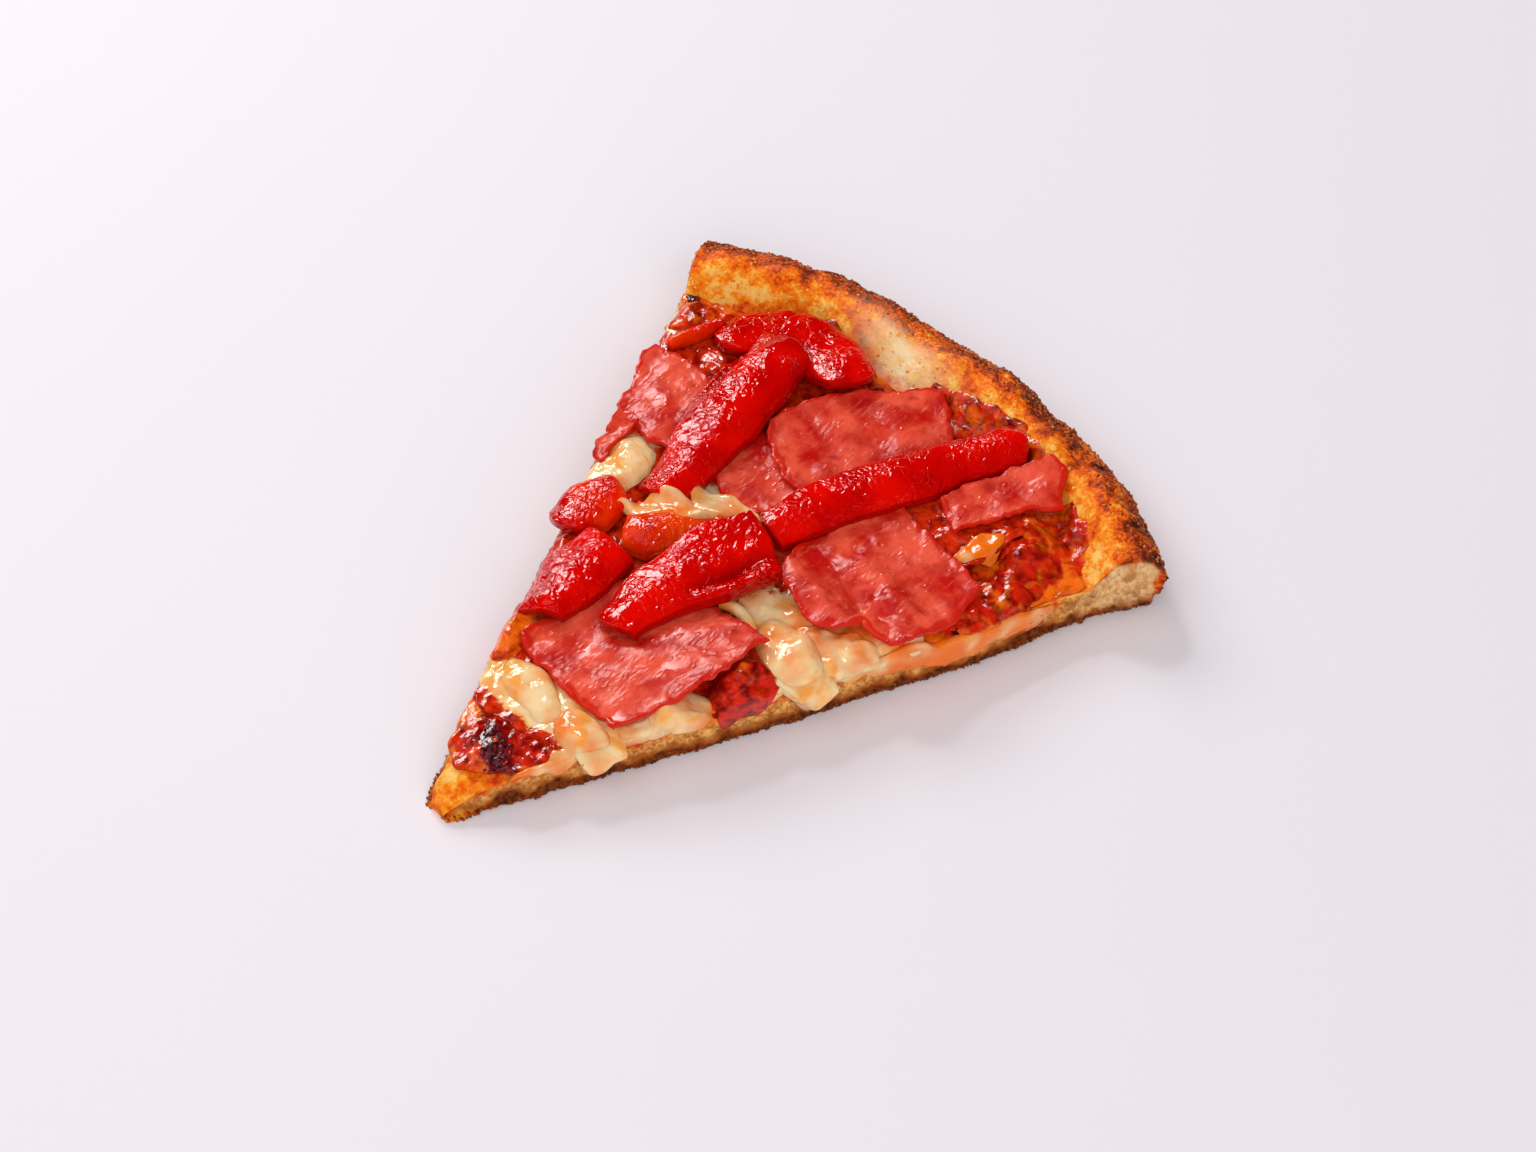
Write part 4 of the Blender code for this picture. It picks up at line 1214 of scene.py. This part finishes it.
def make_layers(ground, sauce_skin, tomato, cheese):
    """The sauce, the tomato and the cheese."""
    sauce = slab_shape(
        start=lambda v: 9 + 3 * v + 5 * v * v,
        left=lambda y: cut_x(y, -1) + 1.0,
        right=lambda y: cut_x(y, 1) - 1.1,
        back=lambda v: 160 - 15 * v * v,
        thick=SAUCE_THICK,
        seed=21,
        relief=0.2,
    )
    spread = lay("tomato_sauce", (28, 12, 1), (230, 130, 4), sauce, sauce_look, sauce_skin, ground)
    front = chunk_shape((29.5, 67), (12, 8), 4.5, 55, 41)
    back = chunk_shape((48, 142), (15, 8), 4.5, 72, 42)
    lay("tomato_chunk_front", (5, 4, 2), (44, 36, 14), front, chunk_look(41), tomato, ground)
    lay("tomato_chunk_back", (6, 4, 2), (52, 34, 14), back, chunk_look(43), tomato, ground)
    lay(
        "melted_cheese",
        (36, 18, 2),
        (230, 150, 6),
        cheese_shape,
        cheese_look,
        cheese,
        ground,
        cheese_free,
    )
    return spread


CHEESE_AT_CUT = {
    # corners, how far the sides bow out, thickness, how torn, how much sauce and how much oil is on it
    "cheese_at_cut_tip": ([(8, 14), (13, 14), (24, 36), (17, 36)], (0, 0, 0, 0), 0.5, 0.2, 0.3, 0.6),
    "cheese_at_cut_front": ([(16, 38), (25, 38), (33, 58), (26, 58)], (0, 0, 0, 0), 0.6, 0.2, 0.3, 0.4),
    "cheese_at_cut_middle": ([(32, 70), (41, 70), (52, 96), (42, 96)], (0, 0, 0, 0), 0.6, 0.2, 0.35, 0.4),
    "cheese_at_cut_back": ([(44, 90), (55, 92), (70, 138), (58, 136)], (0, 0, 0, 0), 0.8, 0.2, 0.32, 0.9),
}
CHEESE_SMEARS = {
    "cheese_crumpled": ([(26, 78), (44, 80), (50, 97), (30, 94)], (2, 1, 1, 1), 2.0, 0.2, 0.0, 0.4),
    "cheese_tongue_front": ([(6, 29), (19, 28), (22, 36), (8, 38)], (1, 2, 1, 1), 2.0, 0.001, 0.0, 0.45),
    "cheese_tongue_middle": ([(22, 77), (40, 72), (43, 84), (20, 89)], (1, 3, 1, 1), 2.0, 0.001, 0.0, 0.25),
    "cheese_by_ham_front": ([(18, 45), (30, 47), (32, 58), (21, 61)], (1, 2, 1, 1), 2.2, 0.001, 0.0, 0.35),
    "cheese_by_tomato": ([(37, 129), (42, 127), (46, 139), (41, 141)], (1, 1, 1, 1), 2.0, 0.02, 0.3, 1.2),
    "cheese_left_edge": ([(-42, 74), (-32, 76), (-29, 102), (-46, 106)], (0, 0, 0, 0), 2.2, 0.03, 0.0, 0.1),
    "cheese_near_tip": ([(-15, 32), (6, 27), (8, 35), (-13, 40)], (1, 0, 1, 0), 1.8, 0.03, 0.0, 0.1),
}
CHEESE_FILMS = {
    "cheese_film": ([(-31, 79), (-2, 96), (-3, 102), (-29, 87)], (1, 1, 1, 1), 1.3, 0.22, 0.0, 0.6),
    "cheese_by_ham_under": ([(-18, 95), (-2, 97), (1, 105), (-16, 103)], (1, 1, 1, 1), 1.6, 0.06, 0.0, 0.5),
}
SAUCE_SMEARS = {
    # corners, how far the sides bow out, thickness, how torn, how burnt and how oily it is
    "sauce_by_rim_left": ([(-66, 129), (-50, 144), (-56, 152), (-69, 141)], (0, 1, 1, 0), 1.3, 0.2, 0.1, 0.2),
    "sauce_by_rim_middle": ([(-52, 148), (-14, 150), (-20, 163), (-49, 158)], (0, 0, 2, 0), 1.4, 0.25, 0.1, 0.3),
    "sauce_by_rim_back": ([(-12, 156), (36, 158), (38, 167), (-6, 168)], (0, 0, 2, 0), 1.2, 0.3, 0.1, 0.3),
    "sauce_by_rim_right": ([(38, 146), (60, 139), (62, 153), (44, 162)], (0, 0, 1, 0), 1.4, 0.25, 0.0, 0.4),
    "sauce_at_edge_back": ([(46, 112), (56, 111), (62, 145), (47, 147)], (0, 0, 0, 0), 2.2, 0.1, 0.0, 0.15),
    "sauce_at_cut_middle": ([(22, 60), (36, 58), (42, 71), (27, 78)], (0, 1, 0, 0), 2.2, 0.12, 0.0, -0.2),
    "sauce_at_left_edge": ([(-20, 31), (-12, 34), (-14, 51), (-28, 52)], (0, 0, 0, 0), 2.2, 0.15, 0.1, 0.7),
}


def make_smears(table, marks_named, ground, finish, first_seed, reach=3):
    """Thin patches from a table, each with its two marks."""
    for seed, (name, (corners, bulges, thick, torn, *marks)) in enumerate(table.items(), first_seed):
        marks = dict(zip(marks_named, marks))
        smear(name, corners, bulges, thick, ground, finish, marks, torn, 7 * seed, reach)


HAM = {
    # corners from the front left round to the back left, how far the sides bow out, and curls
    "ham_front": ([(-17.5, 40.5), (20, 36), (29.5, 80), (-10, 75)], (0.5, 1.5, 0.5, 0), [(0.7, 0.0, 0, 0.3, 1.2)]),
    "ham_under": ([(-20, 105), (3, 104), (-1, 120), (-21, 125)], (1, 0, 0, 1), []),
    "ham_centre": ([(-20.5, 124), (1, 114), (16.5, 151), (2.5, 165)], (1, 2, 1.5, 6), [(-0.6, 0, 180, 0.4, 1.6)]),
    "ham_left": ([(-50.5, 103.5), (-30, 103.5), (-36, 128), (-61, 127)], (0, 0, 0, 1), [(-0.6, 0, 180, 0.4, 0.8)]),
    "ham_flap": ([(-40.5, 88), (-36.5, 89), (-41.8, 105), (-50, 105.5)], (0, 0, 0, 1), [(-0.2, 0, 180, 1.0, 1.0)]),
    "ham_folded": (
        [(12.5, 96), (51.5, 100), (50.5, 126), (16.5, 131.5)],
        (8.5, 1.5, 0.5, 2),
        [(0, -0.35, 270, 0.5, 2.6), (0.6, 0, 0, 0.4, 1.0)],
    ),
    "ham_by_rim": (
        [(25.5, 136), (34.5, 132.5), (47.5, 156.5), (37, 166)],
        (0, 0, 1.5, 1),
        [(-0.3, 0, 180, 0.7, 1.2)],
    ),
}
# How many cells a ham has each way, in its solid and finished
HAM_CELLS = ((9, 9, 1), (96, 96, 4))
SMALL_HAM_CELLS = {
    "ham_flap": ((4, 8, 1), (30, 60, 4)),
    "ham_by_rim": ((6, 10, 1), (50, 90, 4)),
    "ham_under": ((8, 7, 1), (64, 56, 4)),
}
HAM_FOLDS = {
    "ham_folded": [
        ((34, 102), (10, 2.2), -16, -1.9),
        ((39, 108), (11, 3.5), -16, 1.8),
        ((26, 97), (8, 4), -8, 1.0),
    ],
    "ham_front": [((8, 62), (16, 4), 30, -0.6), ((22, 58), (8, 6), 40, 0.8)],
    "ham_centre": [((-4, 128), (6, 4), 60, -0.7), ((8, 146), (7, 4), 60, 0.6)],
}
HAM_PULLS = {
    "ham_folded": [((41, 95), (4, 4.5), 0, (-2.5, 5.0)), ((24, 88), (5, 3), 0, (0.0, 1.5))],
    "ham_flap": [((-39, 94), (6, 10), 0, (-4.0, 2.0))],
}

PEPPERS = {
    # cells, middle line, widths along it, how far the middle stands up, and whatever else a strip has
    "pepper_left_edge": ((6, 4, 1), [(-33.5, 70), (-33, 79), (-31, 88)], (8, 9, 6), 1.0, {"thick": 2.6}),
    "pepper_by_cheese": ((8, 5, 1), [(-21, 79), (-12, 87), (-4, 97)], (11, 15, 9), 1.6, {"thick": 2.8}),
    "pepper_stub": ((8, 6, 2), [(-16, 47), (-19.2, 61), (-19.8, 74)], (12, 19, 17), 2.2, {}),
    "pepper_cupped": (
        (12, 6, 2),
        [(0, 55.5), (-0.8, 68), (2.3, 80), (9, 98)],
        (10.5, 15.5, 18.5, 24.5, 24.5),
        1.8,
        {"ends": (0.0, 1.6), "cup": 2.6},
    ),
    "pepper_rim_left": ((7, 6, 2), [(-45, 139), (-44, 148), (-42, 157)], (12, 16, 13), 1.6, {"thick": 3.0}),
    "pepper_rim_right": ((8, 6, 2), [(-37, 154.5), (-26, 153), (-12.5, 150)], (10, 14.5, 12), 1.8, {"thick": 3.0}),
    "pepper_long_left": (
        (14, 6, 2),
        [(-22, 90.5), (-25.3, 107), (-29.5, 124), (-33.2, 147)],
        (12, 16.5, 19.5, 23.5, 13),
        2.4,
        {},
    ),
    "pepper_long_right": (
        (15, 5, 2),
        [(4.3, 101.3), (9.6, 120), (16.8, 140.3), (27.3, 164.5)],
        (11.5, 14, 14, 14.5, 13),
        2.4,
        {},
    ),
    "pepper_sliver": ((7, 3, 1), [(-57, 128), (-55.5, 135), (-52.5, 143)], (4.5, 5.5, 4.5), 0.8, {"thick": 2.0}),
}
PEPPER_FINER = 9  # finished cells to each cell of a pepper's solid
PEPPER_LAYERS = 10  # and cells through its thickness
PEPPER_BLUNT = 0.16  # how round the corners of a finished strip are
PEPPER_FLESH = {"pepper_left_edge": 0.45, "pepper_by_cheese": 0.6, "pepper_sliver": 0.5}
PEPPER_FOLDS = {
    "pepper_long_left": [((-38.5, 131), (15, 1.3), 103, -1.8), ((-34, 137), (9, 3.0), 78, 1.0)],
    "pepper_cupped": [((9.5, 84), (11, 1.5), 72, -2.0), ((15, 85), (10, 2.8), 74, 1.5)],
}
PEPPER_FINE = {
    # how round the corners of the fine strip are, its widths and its middle line
    "pepper_rim_left": (0.6, (13, 18, 15), [(-44.5, 137), (-44, 145.5), (-37.5, 153.5)]),
    "pepper_rim_right": (0.6, (13, 19, 16), [(-40, 153), (-27.5, 152.5), (-12, 149)]),
    "pepper_left_edge": (0.6, (12, 16, 13), None),
    "pepper_cupped": (0.2, (10.5, 15.5, 18, 21, 20), None),
    "pepper_long_left": (PEPPER_BLUNT, (12.5, 16, 18.5, 21, 16), None),
}


def make_ham(ground):
    """The ham: limp rose-coloured pieces with curled edges, in the order in which they lie on each other."""
    ham = ham_finish()
    for seed, (name, (corners, bulges, curls)) in enumerate(HAM.items(), 51):
        shape = ham_shape(corners, bulges, curls, seed)
        look = ham_look(seed, HAM_FOLDS.get(name, ()), HAM_PULLS.get(name, ()))
        coarse, fine = SMALL_HAM_CELLS.get(name, HAM_CELLS)
        lay(name, coarse, fine, shape, look, ham, ground)


def make_peppers(ground):
    """The peppers, skin side up, in the order in which they lie on each other."""
    pepper = pepper_finish()
    for seed, (name, (coarse, route, widths, arch, more)) in enumerate(PEPPERS.items(), 61):
        shape = pepper_shape(route, widths, arch, seed=seed, **more)
        blunt, fine_widths, fine_route = PEPPER_FINE.get(name, (PEPPER_BLUNT, widths, None))
        crisp = pepper_shape(fine_route or route, fine_widths, arch, seed=seed, blunt=blunt, **more)
        fine = (coarse[0] * PEPPER_FINER, coarse[1] * PEPPER_FINER, PEPPER_LAYERS)
        look = pepper_look(seed, PEPPER_FLESH.get(name, 0.0), PEPPER_FOLDS.get(name, ()))
        lay(name, coarse, fine, shape, look, pepper, ground, fine_shape=crisp)


def make_slice():
    """The whole slice, from the crust up."""
    ground = Ground()
    strewn = strewn_tree()
    grain = grain_finish("baked_grain", tint(226, 122, 26), tint(104, 40, 10))
    gold = grain_finish("golden_grain", tint(255, 186, 60), tint(240, 120, 16))
    dark_grain = grain_finish("dark_grain", tint(170, 84, 28), tint(82, 32, 10))
    sauce = sauce_finish()
    cheese = cheese_finish()
    make_crust(crust_finish(), grain, gold, dark_grain, strewn, ground)
    tomato = tomato_finish()
    spread = make_layers(ground, sauce, tomato, cheese)
    flakes = {
        "Mark": "flakes",
        "Density": 0.9 / MM**2,
        "Smallest": (0.25, 0.2, 0.15),
        "Largest": (0.75, 0.6, 0.4),
        "Seed": 5,
        "Material": grain_finish("charred_bits", tint(120, 30, 30), tint(50, 10, 20)),
    }
    pulp = dict(flakes, Mark="pulp", Density=0.04 / MM**2, Largest=(1.3, 1.0, 0.5), Seed=6, Material=tomato)
    declare(grown("charred_bits", spread.data, strewn, flakes))
    declare(grown("sauce_pulp", spread.data, strewn, pulp))
    make_smears(CHEESE_AT_CUT, ("sauced", "oil"), ground, cheese, 101)
    make_smears(SAUCE_SMEARS, ("char", "oil"), ground, sauce, 71)
    make_smears(CHEESE_SMEARS, ("sauced", "oil"), ground, cheese, 81)
    make_ham(ground)
    make_peppers(ground)
    make_smears(CHEESE_FILMS, ("sauced", "oil"), ground, cheese, 91, 14)
    stick = {
        "Start": tuple(to_frame(np.array((10.5, 80.1, 15.0)))),
        "Middle": tuple(to_frame(np.array((17.4, 82.6, 15.6)))),
        "End": tuple(to_frame(np.array((22.0, 78.6, 14.0)))),
        "Thick": 1.5 * MM,
        "Waist": 0.8,
        "Material": cheese,
    }
    declare(grown("cheese_stick", bpy.data.meshes.new("none"), strand_tree(), stick))


# ---- Floor, light and camera --------------------------------------------------------------------------------


AIM = (4.38, 11.4)  # where the camera looks, on the floor, in millimetres in the frame
AWAY = (-0.7086, 0.7056)  # the level direction in which the camera looks
CAMERA_RISE = math.radians(50)
CAMERA_REACH = 861.0
WARM = (1.0, 0.985, 0.97)
LIGHTS = {
    # turn, rise and distance, size, power, colour, and the use that is made of it where that is less than all
    "window": ((36, 31, 1.5), (1.1, 0.5), 9.5, WARM, ""),
    "key": ((100, 56, 1.8), (1.3, 1.3), 4.0, WARM, ""),
    "lamp": ((26, 46, 1.6), (0.3, 0.16), 4.0, (1.0, 0.99, 0.98), ""),
    "sheen": ((34, 32, 1.45), (0.8, 0.35), 9.0, WARM, "reflections alone"),
    "fill": ((-168, 38, 2.0), (2.2, 2.2), 27.0, (1.0, 0.975, 0.94), "no reflections"),
}


def make_floor():
    """A plain pale floor under the slice."""
    mesh = bpy.data.meshes.new("floor")
    mesh.from_pydata([(-3, -3, 0), (3, -3, 0), (3, 3, 0), (-3, 3, 0)], [], [(0, 1, 2, 3)])
    floor = bpy.data.objects.new("floor", mesh)
    bpy.context.scene.collection.objects.link(floor)
    finish = Finish("pale_floor", 0.55, shine=0.1)
    colour = finish.mix(finish.cloud(400), tint(236, 231, 237), tint(240, 235, 241))
    floor.data.materials.append(finish.done(colour))


def make_light(name, place, size, power, colour, use):
    """A soft rectangular light that faces the slice."""
    lamp = bpy.data.lights.new(name, "AREA")
    lamp.shape = "RECTANGLE"
    lamp.size, lamp.size_y = size
    lamp.energy = power
    lamp.color = colour
    light = bpy.data.objects.new(name, lamp)
    bpy.context.scene.collection.objects.link(light)
    light.location = place
    light.rotation_euler = (Vector((0, 0, 0.01)) - Vector(place)).to_track_quat("-Z", "Y").to_euler()
    light.visible_diffuse = use != "reflections alone"
    light.visible_glossy = use != "no reflections"


def from_behind(turn, rise, reach):
    """A place given by its turn to the left of straight behind the slice, its rise in degrees and its distance."""
    heading = math.atan2(AWAY[1], AWAY[0]) + math.radians(turn)
    level = reach * math.cos(math.radians(rise))
    return (level * math.cos(heading), level * math.sin(heading), reach * math.sin(math.radians(rise)))


def make_studio():
    """Plain soft light, and a camera that looks down at the slice from its right side."""
    scene = bpy.context.scene
    scene.view_settings.view_transform = "Standard"
    world = bpy.data.worlds.new("studio")
    world.use_nodes = True
    sky = world.node_tree.nodes["Background"]
    sky.inputs["Color"].default_value = (0.93, 0.92, 0.96, 1)
    sky.inputs["Strength"].default_value = 0.34
    world.cycles_visibility.glossy = False
    scene.world = world
    for name, (place, size, power, colour, use) in LIGHTS.items():
        make_light(name, from_behind(*place), size, power, colour, use)
    lens = bpy.data.cameras.new("camera")
    lens.lens = 85
    lens.sensor_width = 36
    lens.clip_start = 0.05
    camera = bpy.data.objects.new("camera", lens)
    scene.collection.objects.link(camera)
    aim = Vector((AIM[0], AIM[1], 0.0)) * MM
    back = Vector((-AWAY[0] * math.cos(CAMERA_RISE), -AWAY[1] * math.cos(CAMERA_RISE), math.sin(CAMERA_RISE)))
    camera.location = aim + back * CAMERA_REACH * MM
    camera.rotation_euler = (-back).to_track_quat("-Z", "Y").to_euler()
    scene.camera = camera


make_slice()
make_floor()
make_studio()
